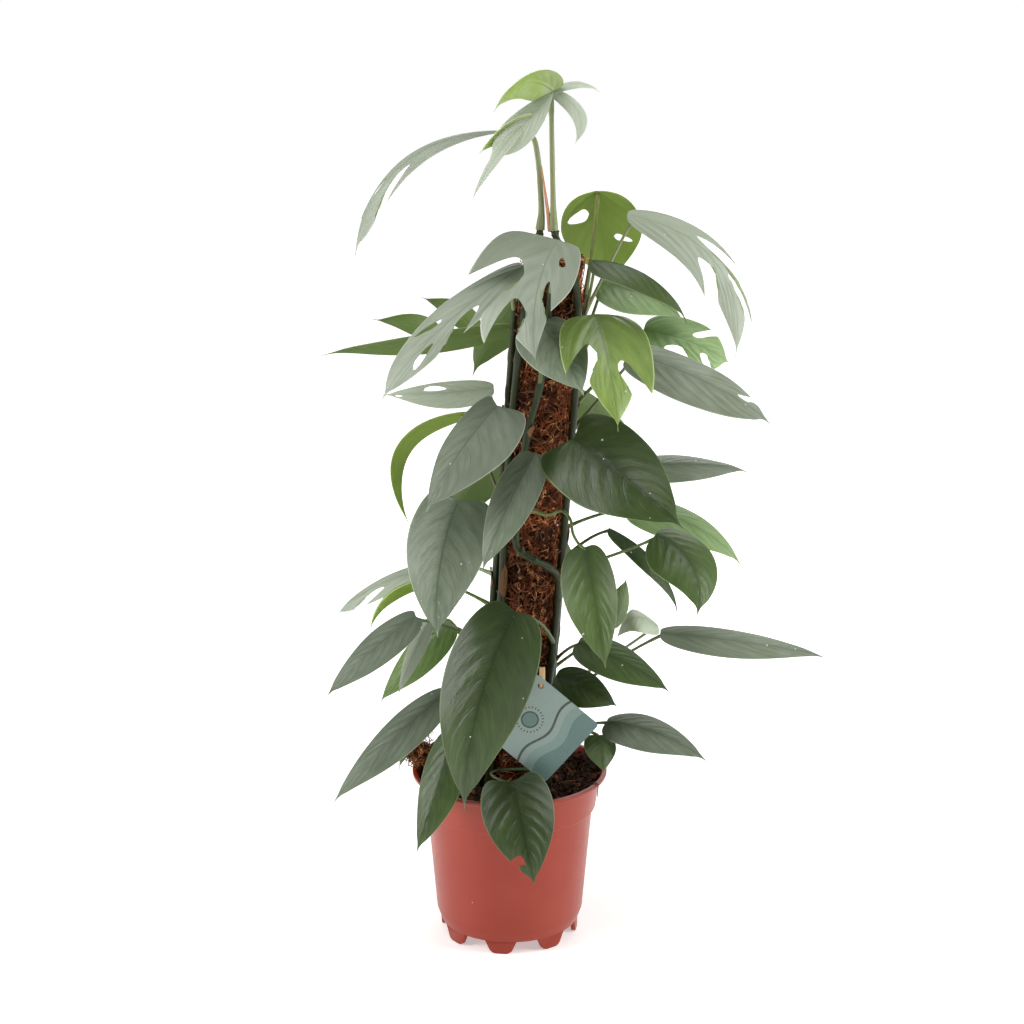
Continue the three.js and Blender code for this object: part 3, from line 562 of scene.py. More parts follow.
@dataclass(frozen=True)
class LeafFinish:
    """Colours of one tone of leaf, and how strong its veins, shading and gloss are."""

    name: str
    blade: int
    patch: int
    vein: int
    edge: int
    under: int
    through: int
    stalk: int
    roughness: float = 0.42
    veined: float = 0.5
    shaded: float = 0.4
    base_shaded: float = 0.34
    glow: float = 0.2
    gloss: float = 0.32
    pairs: float = 8.0
    relief: float = 0.5
    slot: str = ""

    def upper(self) -> Material:
        """Builds the upper face: patches, veins with painted shade, a light margin and pale specks."""
        finish = Finish(f"{self.name}_upper")
        graph = finish.graph
        point = graph.object_point()
        veins = Effect.use(graph, "veins", Place=graph.uv(), Pairs=self.pairs)
        mottle = Effect.use(graph, "mottle", Place=point, Scale=22.0)
        uneven = graph.times(graph.plus(mottle["Patches"], veins["Streak"]), 0.5)
        color = graph.mix(uneven, srgb(self.blade), srgb(self.patch))
        # Painted shade along the midrib fold and towards the leaf's base, with broad random darker
        # patches, all towards the vein colour
        depth = graph.times(veins["Shade"], self.shaded)
        depth = graph.plus(depth, graph.times(veins["Base"], self.base_shaded))
        broad = graph.step(graph.noise(point, 11.0, 1.0), 0.56, 0.4)
        depth = graph.plus(depth, graph.times(broad, 0.26))
        color = graph.mix(depth, color, srgb(self.vein))
        # Painted shade in the grooves of the side veins, darkest along each vein
        vein_groove_shade = graph.times(graph.minus(1.0, veins["Swell"]), self.veined * 0.35)
        color = graph.mix(vein_groove_shade, color, srgb(self.vein))
        lines = graph.math("MAXIMUM", graph.times(veins["Side"], self.veined), veins["Midrib"])
        color = graph.tint(color, lines, 0.85, self.vein)
        color = graph.tint(color, veins["Fine"], 0.05, self.edge)
        ends = graph.math("MAXIMUM", veins["Margin"], graph.times(veins["Tip"], 0.7))
        color = graph.tint(color, ends, 0.7, self.edge)
        # Each leaf's light factor: partly its own lighter or darker tone, partly painted light and shade
        color = graph.scaled(color, "light")
        spots = Effect.use(graph, "specks", Place=point, Scale=120.0, Size=0.09, Share=0.4)["Mask"]
        gathered = graph.step(graph.noise(point, 30.0, 1.0), 0.5, 0.6)
        color = graph.tint(color, graph.times(spots, gathered), 0.65, 0xE4EADD)
        rough = graph.linear(mottle["Grain"], 0.2, self.roughness - 0.1)
        finish.paint(color, rough, self.gloss)
        grain = graph.times(mottle["Grain"], 0.25)
        height = graph.minus(grain, graph.times(veins["Side"], 0.35))
        height = graph.plus(height, graph.times(veins["Swell"], 0.5))
        height = graph.minus(height, graph.times(veins["Streak"], 0.3))
        finish.relief(height, self.relief, 0.6)
        finish.glow(srgb(self.through), self.glow)
        return finish.material

    def lower(self) -> Material:
        """Builds the paler underside with its raised veins."""
        finish = Finish(f"{self.name}_under")
        graph = finish.graph
        veins = Effect.use(graph, "veins", Place=graph.uv(), Pairs=self.pairs)
        mottle = Effect.use(graph, "mottle", Place=graph.object_point(), Scale=24.0)
        color = graph.tint(srgb(self.under), mottle["Patches"], 0.35, self.blade)
        lines = graph.math("MAXIMUM", graph.times(veins["Side"], 0.45), veins["Midrib"])
        color = graph.tint(color, lines, 0.5, self.stalk)
        # Each leaf's light factor: partly its own lighter or darker tone, partly painted light and shade
        color = graph.scaled(color, "light")
        finish.paint(color, graph.linear(mottle["Grain"], 0.2, 0.4), 0.3)
        height = graph.plus(veins["Side"], graph.times(mottle["Grain"], 0.25))
        finish.relief(height, 0.3, 0.5)
        finish.glow(srgb(self.through), self.glow + 0.12)
        return finish.material

    def build(self) -> list[Material]:
        """Builds the materials of the upper face, the underside and the stalk."""
        stalk = StemFinish(f"{self.name}_stalk", self.stalk, self.vein, 0x7D6242, edge_share=0.45).build()
        return [self.upper(), self.lower(), stalk]


@dataclass(frozen=True)
class StemFinish:
    """A grown stem or stalk: streaked along its length, browner along one line."""

    name: str
    color: int
    streak: int
    edge: int
    edge_share: float = 0.5
    roughness: float = 0.4

    def build(self) -> Material:
        """Builds the material."""
        finish = Finish(self.name)
        graph = finish.graph
        uv = graph.uv()
        stretched = graph.add("ShaderNodeMapping", Vector=uv, Scale=(7.0, 9.0, 1.0)).outputs[0]
        streaks = graph.step(graph.noise(stretched, 3.0, 4.0, 0.6), 0.35, 0.7)
        color = graph.mix(streaks, srgb(self.color), srgb(self.streak))
        parts = graph.split(uv)
        line = graph.math("ABSOLUTE", graph.minus(parts["Y"], 0.42))
        edge = graph.times(graph.step(line, 0.03, 0.13, 1.0, 0.0), self.edge_share)
        color = graph.mix(edge, color, srgb(self.edge))
        grain = Effect.use(graph, "mottle", Place=graph.object_point(), Scale=60.0)["Grain"]
        finish.paint(color, graph.linear(grain, 0.2, self.roughness - 0.1), 0.3)
        finish.relief(graph.plus(streaks, grain), 0.3, 0.4)
        return finish.material


@dataclass(frozen=True)
class RoughFinish:
    """A dull uneven stuff such as coir or potting mix, in three colours."""

    name: str
    dark: int
    middle: int
    light: int
    scale: float
    relief: float = 0.6
    by_strand: bool = False

    def build(self) -> Material:
        """Builds the material."""
        finish = Finish(self.name)
        graph = finish.graph
        point = graph.object_point()
        mottle = Effect.use(graph, "mottle", Place=point, Scale=self.scale)
        color = graph.mix(mottle["Patches"], srgb(self.dark), srgb(self.middle))
        fine = graph.noise(point, self.scale * 4.0, 3.0)
        color = graph.mix(graph.step(fine, 0.52, 0.68), color, srgb(self.light))
        if self.by_strand:
            color = graph.scaled(color, "light")
        finish.paint(color, 0.9, 0.2)
        finish.relief(mottle["Grain"], 0.7, self.relief)
        return finish.material


@dataclass(frozen=True)
class PotFinish:
    """Moulded plastic with fine grain, pale scuffs and a few dark specks."""

    color: int = 0x8E2C18
    worn: int = 0x9C3C26
    dark: int = 0x5C2014

    def build(self) -> Material:
        """Builds the material."""
        finish = Finish("pot_red_plastic")
        graph = finish.graph
        point = graph.object_point()
        mottle = Effect.use(graph, "mottle", Place=point, Scale=14.0)
        color = graph.tint(srgb(self.color), mottle["Patches"], 0.35, self.worn)
        scuffs = Effect.use(graph, "specks", Place=point, Scale=60.0, Size=0.07, Share=0.12)["Mask"]
        color = graph.tint(color, scuffs, 0.5, 0xE0A79B)
        dirt = Effect.use(graph, "specks", Place=point, Scale=38.0, Size=0.04, Share=0.1)["Mask"]
        color = graph.tint(color, dirt, 0.7, self.dark)
        height = graph.split(point)["Z"]
        soiled = graph.times(graph.step(height, 0.132, 0.15), mottle["Patches"])
        color = graph.tint(color, soiled, 0.25, self.dark)
        finish.paint(color, graph.linear(mottle["Grain"], 0.18, 0.26), 0.34)
        finish.relief(mottle["Grain"], 0.12, 0.15)
        return finish.material


@dataclass(frozen=True)
class CardFinish:
    """Printed card: blue-green, with waves, a line, a ringed disc and a circle of dashes."""

    ground: int = 0x7B8D86
    deep: int = 0x4A6761
    soft: int = 0x6A827B
    ink: int = 0x161E1D
    waves: float = 9.0
    wave_height: float = 0.045
    disc_height: float = 0.68
    disc_radius: float = 0.1
    dashes: int = 24
    dash_circle: float = 0.16

    def build(self) -> Material:
        """Builds the material; the UV map runs from 0 to 1 over the card's face."""
        finish = Finish("tag_printed_card")
        graph = finish.graph
        parts = graph.split(graph.uv())
        across, up = parts["X"], parts["Y"]
        wave = graph.times(graph.math("SINE", graph.times(across, self.waves)), self.wave_height)
        level = graph.minus(up, wave)
        color = graph.mix(graph.math("LESS_THAN", level, 0.34), srgb(self.ground), srgb(self.soft))
        color = graph.mix(graph.math("LESS_THAN", level, 0.22), color, srgb(self.deep))
        line = graph.near(level, 0.44, 0.016)
        color = graph.mix(line, color, srgb(self.ink))
        far = graph.minus(across, 0.5)
        high = graph.minus(up, self.disc_height)
        squares = graph.plus(graph.times(far, far), graph.times(high, high))
        distance = graph.math("SQRT", squares)
        angle = graph.math("ARCTAN2", high, far)
        turns = graph.times(angle, self.dashes / (2 * math.pi))
        beads = graph.math("LESS_THAN", graph.math("PINGPONG", turns, 0.5), 0.17)
        band = graph.near(distance, self.dash_circle, 0.013)
        color = graph.mix(graph.times(beads, band), color, srgb(self.ink))
        color = graph.mix(graph.math("LESS_THAN", distance, self.disc_radius), color, srgb(self.deep))
        edge = graph.near(distance, self.disc_radius, 0.01)
        color = graph.mix(edge, color, srgb(self.ink))
        grain = Effect.use(graph, "mottle", Place=graph.object_point(), Scale=40.0)["Grain"]
        color = graph.tint(color, grain, 0.12, 0xC8D6D1)
        finish.paint(color, graph.linear(grain, 0.15, 0.5))
        finish.relief(grain, 0.1, 0.1)
        return finish.material


@dataclass(frozen=True)
class WoodFinish:
    """Bare planed wood with grain along its height."""

    light: int = 0xD9B98C
    dark: int = 0xB28A58

    def build(self) -> Material:
        """Builds the material."""
        finish = Finish("tag_bare_wood")
        graph = finish.graph
        point = graph.object_point()
        stretched = graph.add("ShaderNodeMapping", Vector=point, Scale=(1.0, 1.0, 0.06)).outputs[0]
        grain = graph.noise(stretched, 1400.0, 4.0, 0.6)
        color = graph.mix(graph.step(grain, 0.35, 0.7), srgb(self.light), srgb(self.dark))
        finish.paint(color, 0.62)
        finish.relief(grain, 0.3, 0.15)
        return finish.material


# The coir pole and the vines


@dataclass
class CoirPole:
    """A leaning pole wrapped in coarse coir fibre."""

    radius: float = 24.0
    bottom: float = 40.0
    top: float = 597.0
    offset: float = 1.4
    offset_height: float = 150.0
    lean: float = 0.078
    visible: float = 132.0
    rings: int = 96
    sides: int = 48
    fibres: int = 1500
    end_fibres: int = 420
    fibre_length: tuple[float, float] = (24, 72)
    fibre_steps: int = 10
    loose_share: float = 0.14
    thickness: float = 0.4

    def axis(self, z: float) -> Vector:
        """Gives the middle of the pole at a height."""
        return Vector((self.offset + self.lean * (z - self.offset_height), 0, z))

    def surface(self, z: float, bearing: float, radius: float) -> Vector:
        """Gives a point at a height, a bearing in radians and a distance from the axis."""
        return self.axis(z) + heading(bearing) * radius

    def core(self) -> Object:
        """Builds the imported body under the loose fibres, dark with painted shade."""
        bm = bmesh.new()
        length = self.top - self.bottom

        def place(u: float, v: float) -> Vector:
            index, closed = ring_at(u, self.rings)
            z = self.bottom + length * index / self.rings
            bearing = -2 * math.pi * v
            point = self.surface(z, bearing, self.radius)
            rough = noise.noise(point * 0.11) * 1.6 + noise.noise(point * 0.35) * 0.8
            shrink = 3.0 if index in (0, self.rings) else 0.0
            size = 0.0 if closed else self.radius - 2.0 + rough - shrink
            return self.surface(z, bearing, size)

        weld(bm, shaped_grid(bm, self.rings + 2, self.sides, place))
        # Painted shade: the core is far darker than the coir's own brown, for the shade deep in the gaps
        # between the fibres
        finish = RoughFinish("coir_core_painted_shade", 0x180B06, 0x35190D, 0x55301C, scale=180.0, relief=1.2)
        return piece(bm, "coir_pole_core", [finish.build()], "coir", ("coir_pole",), crease=180)

    def fibre(self, low: float, high: float) -> list[Vector]:
        """Lays one fibre on the pole, with its ends standing off a little."""
        z = random.uniform(low, high)
        bearing = random.uniform(0, 2 * math.pi)
        slope = random.gauss(math.pi / 2, 0.9) * random.choice((1, -1))
        step = random.uniform(*self.fibre_length) / self.fibre_steps
        stand_off = max(-0.6, random.gauss(0.7, 1.2))
        loose = random.random() < self.loose_share
        curl = random.gauss(0, 0.32)
        points = []
        for i in range(self.fibre_steps):
            share = i / (self.fibre_steps - 1)
            lift = (2 * share - 1) ** 2 * random.uniform(0.0, 1.3) + (share**2 * 4.0 if loose else 0.0)
            radius = self.radius - 1.2 + stand_off + lift
            height = min(max(z, self.visible - 6), self.top + 1.0)
            points.append(self.surface(height, bearing, radius))
            bearing += math.cos(slope) * step / self.radius
            z += math.sin(slope) * step
            slope += curl + random.gauss(0, 0.4)
        return points

    def end_fibre(self) -> list[Vector]:
        """Lays one fibre across the pole's cut top."""
        reach = math.sqrt(random.random()) * (self.radius - 2)
        start = self.surface(self.top, random.uniform(0, 2 * math.pi), reach)
        turn = random.uniform(0, 2 * math.pi)
        step = heading(turn) * random.uniform(2, 5)
        points = []
        for i in range(4):
            wobble = Vector((random.gauss(0, 0.8), random.gauss(0, 0.8), random.gauss(0.4, 0.6)))
            points.append(start + step * (i - 1.5) + wobble)
        return points

    def build(self) -> None:
        """Builds the core, two lengths of loose fibre and the cut end on top."""
        self.core()
        finish = RoughFinish(
            "coir_fibre", 0x4A2412, 0x9C5A36, 0xD89C6C, scale=40.0, relief=0.3, by_strand=True
        )
        material = finish.build()
        middle = (self.visible + self.top) / 2
        halves = {"lower": (self.visible, middle), "upper": (middle, self.top)}
        for name, (low, high) in halves.items():
            paths = [self.fibre(low, high) for _ in range(self.fibres)]
            if name == "upper":
                paths += [self.end_fibre() for _ in range(self.end_fibres)]
            mesh = strands(paths, self.thickness, f"coir_fibres_{name}")
            dress(mesh, f"coir_fibres_{name}", [material], "coir")


POLE = CoirPole()


@dataclass
class Vine:
    """A stem that climbs the pole through stops of height, bearing and distance."""

    name: str
    stops: tuple[tuple[float, ...], ...]
    radius: float = 3.2
    standoff: float = 29.0
    root_reach: float = 26.6
    joint_spacing: float = 36.0
    bottom: float = 112.0

    def __post_init__(self) -> None:
        """Works out the stem's middle line, a point every few millimetres."""
        stops = ((self.bottom, self.stops[0][1]), *self.stops)
        points = []
        for height, bearing, *distance in stops:
            reach = distance[0] if distance else self.standoff
            points.append(POLE.surface(height, math.radians(bearing), reach))
        self.path = smooth(points, 14)

    def at(self, z: float) -> Vector:
        """Gives the middle of the stem at a height."""
        for low, high in zip(self.path, self.path[1:]):
            if low.z <= z <= high.z:
                return low.lerp(high, (z - low.z) / max(high.z - low.z, 1e-6))
        return self.path[-1].copy()

    def joints(self) -> list[float]:
        """Gives the shares of the stem at which a ringed joint stands."""
        count = max(3, round((self.path[-1].z - self.bottom) / self.joint_spacing))
        return [(i + 0.5) / count for i in range(count)]

    def thickness(self, share: float) -> float:
        """Gives the stem's radius: it thins upwards and swells at each joint."""
        swell = max(math.exp(-(((share - joint) / 0.009) ** 2)) for joint in self.joints())
        return self.radius * (1.0 - 0.14 * share) + 0.75 * swell

    def root(self, start: Vector, length: float) -> list[Vector]:
        """Lets an air root creep from the stem onto the pole."""
        axis = POLE.axis(start.z)
        out = (start - axis).normalized()
        side = UP.cross(out) * random.choice((1, -1))
        points = []
        for i in range(7):
            share = i / 6
            turned = Quaternion(UP, side.dot(UP.cross(out)) * share * length / 30) @ out
            height = start.z - share * length * random.uniform(0.2, 0.5)
            reach = self.root_reach - 0.5 * share + (self.standoff - self.root_reach) * (1 - share) ** 2
            points.append(POLE.axis(height) + turned * reach)
        return points

    def sheath(self, bm: BMesh, start: int, reach: int) -> None:
        """Wraps a dry papery leaf base round part of the stem.

        Args:
            bm: The stem's mesh.
            start: Index of the path's point where it begins.
            reach: Number of points that it covers.
        """
        frames = frames_along(self.path)
        turn = random.uniform(0, 2 * math.pi)
        count = min(reach, len(self.path) - 1 - start)

        def place(u: float, v: float) -> Vector:
            index = start + round(u * count)
            _, first, second = frames[index]
            half = 1.25 * (1 - u) ** 0.6 * min(1.0, 0.35 + 4 * u)
            angle = turn - (v - 0.5) * 2 * half
            lift = self.radius + 0.45 + 1.6 * u * (abs(v - 0.5) * 2) ** 2
            return self.path[index] + (first * math.cos(angle) + second * math.sin(angle)) * lift

        faces = shaped_grid(bm, count, 6, place, material=1)
        weld(bm, faces)
        bm.normal_update()
        bmesh.ops.solidify(bm, geom=[face for face in faces if face.is_valid], thickness=0.3)

    def build(self, materials: list[Material]) -> None:
        """Builds the stem with its joints, papery leaf bases and air roots."""
        bm = bmesh.new()
        tube(bm, self.path, self.thickness, sides=14)
        spots = [round(joint * (len(self.path) - 1)) for joint in self.joints()]
        for spot in spots:
            if random.random() < 0.4 and spot + 4 < len(self.path):
                self.sheath(bm, spot, random.randint(3, 5))
            for _ in range(random.randint(0, 2)):
                start = self.path[spot]
                if POLE.visible < start.z < POLE.top - 20:
                    path = self.root(start, random.uniform(12, 30))
                    tube(bm, path, lambda share: 0.9 - 0.55 * share, sides=6, material=2)
        piece(bm, f"{self.name}_stem", materials, "vine_green", (self.name,))


@dataclass
class DriedSheath:
    """A dry salmon-brown sheath that clings to the stalks at the crown."""

    path: tuple[Point, ...] = ((26, -11, 674), (28.5, -12.5, 656), (31, -14, 638), (33, -14.5, 621))
    radius: float = 1.9

    def build(self) -> None:
        """Builds the sheath, which widens downwards."""
        bm = bmesh.new()
        points = smooth([Vector(point) for point in self.path], 6)
        tube(bm, points, lambda share: 0.3 + (self.radius - 0.3) * share**0.7, sides=8)
        finish = StemFinish("dried_sheath", 0xC08F70, 0x9C6B4E, 0x7E4F38, edge_share=0.4, roughness=0.6)
        piece(bm, "dried_sheath", [finish.build()], "vine_green")


# Leaves


class Outline(NamedTuple):
    """Half a blade: rise to its widest, taper to its tip, back lobes, forward sweep."""

    rise: float
    point: float
    back: float
    sweep: float


class Shape(Enum):
    """The kinds of blade on the plant."""

    HEART = Outline(0.42, 1.15, 0.13, 0.07)
    OVAL = Outline(0.5, 1.2, 0.06, 0.08)
    LANCE = Outline(0.55, 1.35, 0.03, 0.1)
    SPLIT = Outline(0.42, 1.1, 0.08, 0.2)
    LOBED = Outline(0.4, 1.9, 0.12, 0.2)
    LATE = Outline(0.9, 1.1, 0.0, 0.2)


class Tone(Enum):
    """The finishes of the leaves, from the silvery crown to the dark foot."""

    PALE = LeafFinish(
        "leaf_pale", 0xB2B8AB, 0x989F8F, 0x747F6C, 0xCFD5C8, 0x7C923E, 0xA6BC6C, 0x84965E,
        roughness=0.42, veined=0.35, shaded=0.16, glow=0.16, gloss=0.22, relief=0.08, slot="leaf_silver",
    )
    SILVER = LeafFinish(
        "leaf_silver", 0xA0A699, 0x878F7F, 0x616D59, 0xC2C8B8, 0x76904E, 0x9FB36C, 0x80925C,
        roughness=0.42, veined=0.35, shaded=0.22, glow=0.14, relief=0.25, slot="leaf_silver",
    )
    ASH = LeafFinish(
        "leaf_ash", 0x8D9585, 0x6E7764, 0x465040, 0xB2B9AA, 0x76904E, 0x93AA5C, 0x6F8354,
        roughness=0.38, veined=0.4, shaded=0.28, glow=0.14, slot="leaf_grey",
    )
    GREY = LeafFinish(
        "leaf_grey", 0x717A6A, 0x545E4D, 0x323C2C, 0x9CA492, 0x6F8454, 0x86A04E, 0x61744A,
        roughness=0.38, veined=0.4, shaded=0.32, glow=0.12, slot="leaf_grey",
    )
    GREEN = LeafFinish(
        "leaf_green", 0x536639, 0x394A28, 0x212D17, 0x84966A, 0x687F42, 0x86A83C, 0x66794A,
        roughness=0.34, veined=0.45, shaded=0.32, glow=0.14, gloss=0.4, slot="leaf_green",
    )
    FRESH = LeafFinish(
        "leaf_fresh", 0x70874E, 0x536A35, 0x324323, 0xA0B27C, 0x77904A, 0x8DAE44, 0x6F8450,
        roughness=0.34, veined=0.45, shaded=0.32, glow=0.18, gloss=0.4, slot="leaf_green",
    )
    DARK = LeafFinish(
        "leaf_dark", 0x4A5D2E, 0x31431D, 0x1A2610, 0x7E9660, 0x586D3A, 0x6F9033, 0x4A5C37,
        roughness=0.36, veined=0.4, shaded=0.32, glow=0.1, gloss=0.34, slot="leaf_dark",
    )
    # The leaves' own fresh yellow-green with painted light in it, the glow of light shining through them,
    # and strong painted shade towards the base
    BRIGHT = LeafFinish(
        "leaf_bright", 0x90A457, 0x6B823C, 0x3A4C22, 0xB8C888, 0x768C3C, 0x96B446, 0x7D9246,
        roughness=0.3, veined=0.5, shaded=0.28, base_shaded=0.6, glow=0.24, gloss=0.5,
        pairs=6.0, slot="leaf_bright",
    )
    LIGHT = LeafFinish(
        "leaf_light", 0x8BA172, 0x6E855A, 0x485C3A, 0xBCCC9F, 0x829C58, 0x9BB467, 0x778B54,
        roughness=0.34, veined=0.4, shaded=0.28, glow=0.2, gloss=0.4, slot="leaf_light",
    )


class Cut(NamedTuple):
    """A split of the margin, or a hole beside the midrib.

    Its inner and outer ends are shares of the half width; a split has no outer
    end. The lobe before a split curls back to the midrib by its hug.
    """

    side: int
    place: float
    width: float
    hole: bool = False
    inner: float = 0.3
    outer: float = 0.84
    hug: float = 0.0


@dataclass
class Blade:
    """One blade on a midrib from base to tip, its upper side turned to face.

    A lobe has no base: it leaves the midrib of the leaf's blade at its start, a
    share of that midrib. The midrib rises by arch and bends sideways by bow. Each half folds back by
    fold and curls to its margin by curl, both in degrees. One side is broader by
    skew. The end is drawn out by drip and hangs by hook; past the last split the
    blade narrows by tail, and the fingers shorten towards the stalk by taper.
    """

    tip: Point
    face: Point
    width: float
    base: Point | None = None
    start: float = 0.0
    arch: float = 8
    bow: float = 0
    fold: float = 12
    curl: float = 14
    skew: float = 0
    shape: Shape = Shape.OVAL
    sweep: float | None = None
    back: float | None = None
    taper: float = 0.42
    tail: float = 0
    drip: float = 0.5
    hook: float = 0.03
    quilt: float = 0.3
    pairs: float = 8.0
    cuts: tuple[Cut, ...] = ()
    columns: int = 52
    rows: int = 12
    cut_grid: tuple[int, int] = (76, 22)
    thickness: float = 0.6
    rib: float = 0.8

    def settle(self, base: Vector | None = None) -> "Blade":
        """Works out the blade's own axes.

        Args:
            base: Where the midrib begins, if the blade has no base of its own.

        Returns:
            The blade itself.
        """
        outline = self.shape.value
        if self.cuts:
            self.columns, self.rows = self.cut_grid
        if self.sweep is not None:
            outline = outline._replace(sweep=self.sweep)
        if self.back is not None:
            outline = outline._replace(back=self.back)
        self.outline = outline
        self.origin = Vector(self.base) if self.base else base
        span = Vector(self.tip) - self.origin
        self.length = span.length
        self.along = span.normalized()
        face = Vector(self.face)
        self.facing = (face - self.along * face.dot(self.along)).normalized()
        self.across = self.along.cross(self.facing)
        return self

    def midrib(self, u: float) -> tuple[Vector, Vector, Vector]:
        """Gives a point of the midrib with the blade's normal and its crosswise direction."""
        bend = 4 * u if u < 0 else 4 * u * (1 - u)
        slope = 4 if u < 0 else 4 - 8 * u
        offset = self.facing * self.arch + self.across * self.bow
        droop = self.facing * (-self.length * self.hook * max(0.0, (u - 0.8) / 0.2) ** 2)
        point = self.origin + self.along * (self.length * u) + offset * bend + droop
        tangent = (self.along * self.length + offset * slope).normalized()
        normal = (self.facing - tangent * self.facing.dot(tangent)).normalized()
        return point, normal, tangent.cross(normal)

    def reach(self, t: float, side: int) -> float:
        """Gives the half width at a place along the margin."""
        rise, taper = self.outline.rise, self.outline.point
        peak = (rise / (rise + taper)) ** rise * (taper / (rise + taper)) ** taper
        half = 0.5 * self.width * max(t, 0) ** rise * max(1 - t, 0) ** taper / peak
        half *= 1 - self.drip * ease(t, 0.84, 0.12)
        return half * (1 + side * self.skew)

    def splits(self, side: int) -> list[float]:
        """Gives the places of the splits on one side."""
        return [cut.place for cut in self.cuts if cut.side == side and not cut.hole]

    def kept(self, t: float, side: int) -> float:
        """Gives the share of its width and sweep that the blade keeps past its last split."""
        places = self.splits(side)
        return 1 - self.tail if places and t > places[-1] else 1.0

    def finger(self, t: float, side: int) -> float:
        """Gives the factor on the half width that shapes the fingers beside the splits."""
        passed = [place for place in self.splits(side) if place < t]
        ahead = [place for place in self.splits(side) if place >= t]
        factor = self.kept(t, side)
        if passed and ahead:
            share = (t - passed[-1]) / (ahead[0] - passed[-1])
            factor -= self.taper * (1 - share) ** 1.5
        for cut in self.cuts:
            if cut.side == side and not cut.hole and t > cut.place:
                factor -= 0.22 * math.exp(-(((t - cut.place - cut.width / 3) / 0.04) ** 2))
            if cut.side == side and t <= cut.place:
                factor *= 1 - cut.hug * math.exp(-(((t - cut.place) / 0.1) ** 2))
        return factor

    def surface(self, t: float, f: float, side: int) -> Vector:
        """Gives the point at a place along the margin and a share of the half width."""
        outer = ease(f, 0.15, 0.35)
        sweep = self.outline.sweep * (1 - (1 - self.kept(t, side)) * outer)
        step = (t / 0.08) ** 0.75
        lobe = self.outline.back * step * math.exp(1 - step) if t < 1 else 0.0
        edge = t + sweep * math.sin(math.pi * t) * max(1 - t, 0) ** 0.3 - lobe
        u = t + (edge - t) * f**1.4
        x = self.reach(t, side) * f * (1 - (1 - self.finger(t, side)) * outer)
        point, normal, across = self.midrib(u)
        turn = math.radians(self.fold + self.curl * f * 0.5)
        flutter = 1.5 * math.sin(9 * u + self.origin.z) * (x / 35) ** 2
        groove = -0.45 * math.exp(-((x / 1.1) ** 2))
        phase = self.pairs * (t - VEIN_SWEEP * f**VEIN_CURVE) + VEIN_SHIFT * (side > 0)
        quilt = -self.quilt * math.cos(2 * math.pi * phase) * math.sin(math.pi * f**0.8)
        lift = flutter + (groove + quilt * min(1.0, x / 8)) * min(1.0, self.width / 40)
        return point + across * (side * x * math.cos(turn)) + normal * (lift - x * math.sin(turn))

    def places(self) -> list[float]:
        """Gives the place of each column, with one on every cut."""
        result = [(i / self.columns) ** 1.2 for i in range(self.columns + 1)]
        for cut in self.cuts:
            nearest = min(range(len(result)), key=lambda i: abs(result[i] - cut.place))
            result[nearest] = cut.place
        return result

    def opening(self, cut: Cut, f: float) -> float:
        """Gives half the width of a cut at a share of the half width."""
        outer = cut.outer if cut.hole else 1.5
        share = (f - cut.inner) / (outer - cut.inner)
        if not 0 < share < 1:
            return 0.0
        rounded = min(1.0, share / (0.35 if cut.hole else 0.16))
        closing = math.sqrt(1 - share) if cut.hole else 1 - 0.9 * share
        return 0.62 * cut.width * math.sqrt(1 - (1 - rounded) ** 2) * closing

    def spread(self, t: float, f: float, side: int, hand: int) -> float:
        """Moves a place along the margin aside for the cuts near it."""
        for cut in self.cuts:
            if cut.side != side:
                continue
            away = t - cut.place
            near = cut.width / 2 + 0.06
            if abs(away) < 1e-6:
                return t + hand * self.opening(cut, f)
            if abs(away) < near:
                gap = self.opening(cut, f)
                return cut.place + math.copysign(gap + abs(away) * (near - gap) / near, away)
        return t

    def slit(self, bm: BMesh, verts: list[BMVert], places: list[float]) -> None:
        """Parts the flat grid along its cuts.

        Args:
            bm: The leaf's mesh.
            verts: The vertices of the grid.
            places: The place of each column.
        """
        spots = {vert: self.spot(vert) for vert in verts}
        slits = set()
        for cut in self.cuts:
            column = places.index(cut.place)
            for vert, (i, row) in spots.items():
                if i != column or row * cut.side < 0:
                    continue
                for edge in vert.link_edges:
                    other = spots[edge.other_vert(vert)]
                    middle = self.share(abs(row) + abs(other[1]), 2)
                    if other[0] == column and other[1] * cut.side >= 0 and self.opening(cut, middle) > 0:
                        slits.add(edge)
        if slits:
            bmesh.ops.split_edges(bm, edges=list(slits))

    def build(self, bm: BMesh) -> None:
        """Adds the blade to a leaf's mesh: a grid, slit at its cuts, shaped and thickened."""
        uv_layer = bm.loops.layers.uv.verify()
        places = self.places()
        grid = bmesh.ops.create_grid(bm, x_segments=self.columns, y_segments=2 * self.rows, size=0.5)
        faces = list({face for vert in grid["verts"] for face in vert.link_faces})
        self.slit(bm, grid["verts"], places)
        verts = list({vert for face in faces for vert in face.verts})
        moved = {}
        for vert in verts:
            i, row = self.spot(vert)
            sides = {face.calc_center_median().x > vert.co.x for face in vert.link_faces}
            hand = 0 if len(sides) == 2 else (1 if True in sides else -1)
            side = 1 if row > 0 else -1
            f = self.share(abs(row))
            t = self.spread(places[i], f, side, hand)
            moved[vert] = (t, 0.5 + side * f / 2, self.surface(t, f, side))
        for face in faces:
            face.smooth = True
            for loop in face.loops:
                loop[uv_layer].uv = moved[loop.vert][:2]
        for vert, (_, _, point) in moved.items():
            vert.co = point
        weld(bm, faces)
        faces = [face for face in faces if face.is_valid]
        self.thicken(bm, faces, uv_layer)

    def spot(self, vert: BMVert) -> tuple[int, int]:
        """Gives the column and row of a vertex of the flat grid; the rib is row 0."""
        return round((vert.co.x + 0.5) * self.columns), -round(vert.co.y * 2 * self.rows)

    def share(self, row: float, parts: int = 1) -> float:
        """Gives the share of the half width at a row, rows being closer at the midrib."""
        return (row / parts / self.rows) ** 1.25

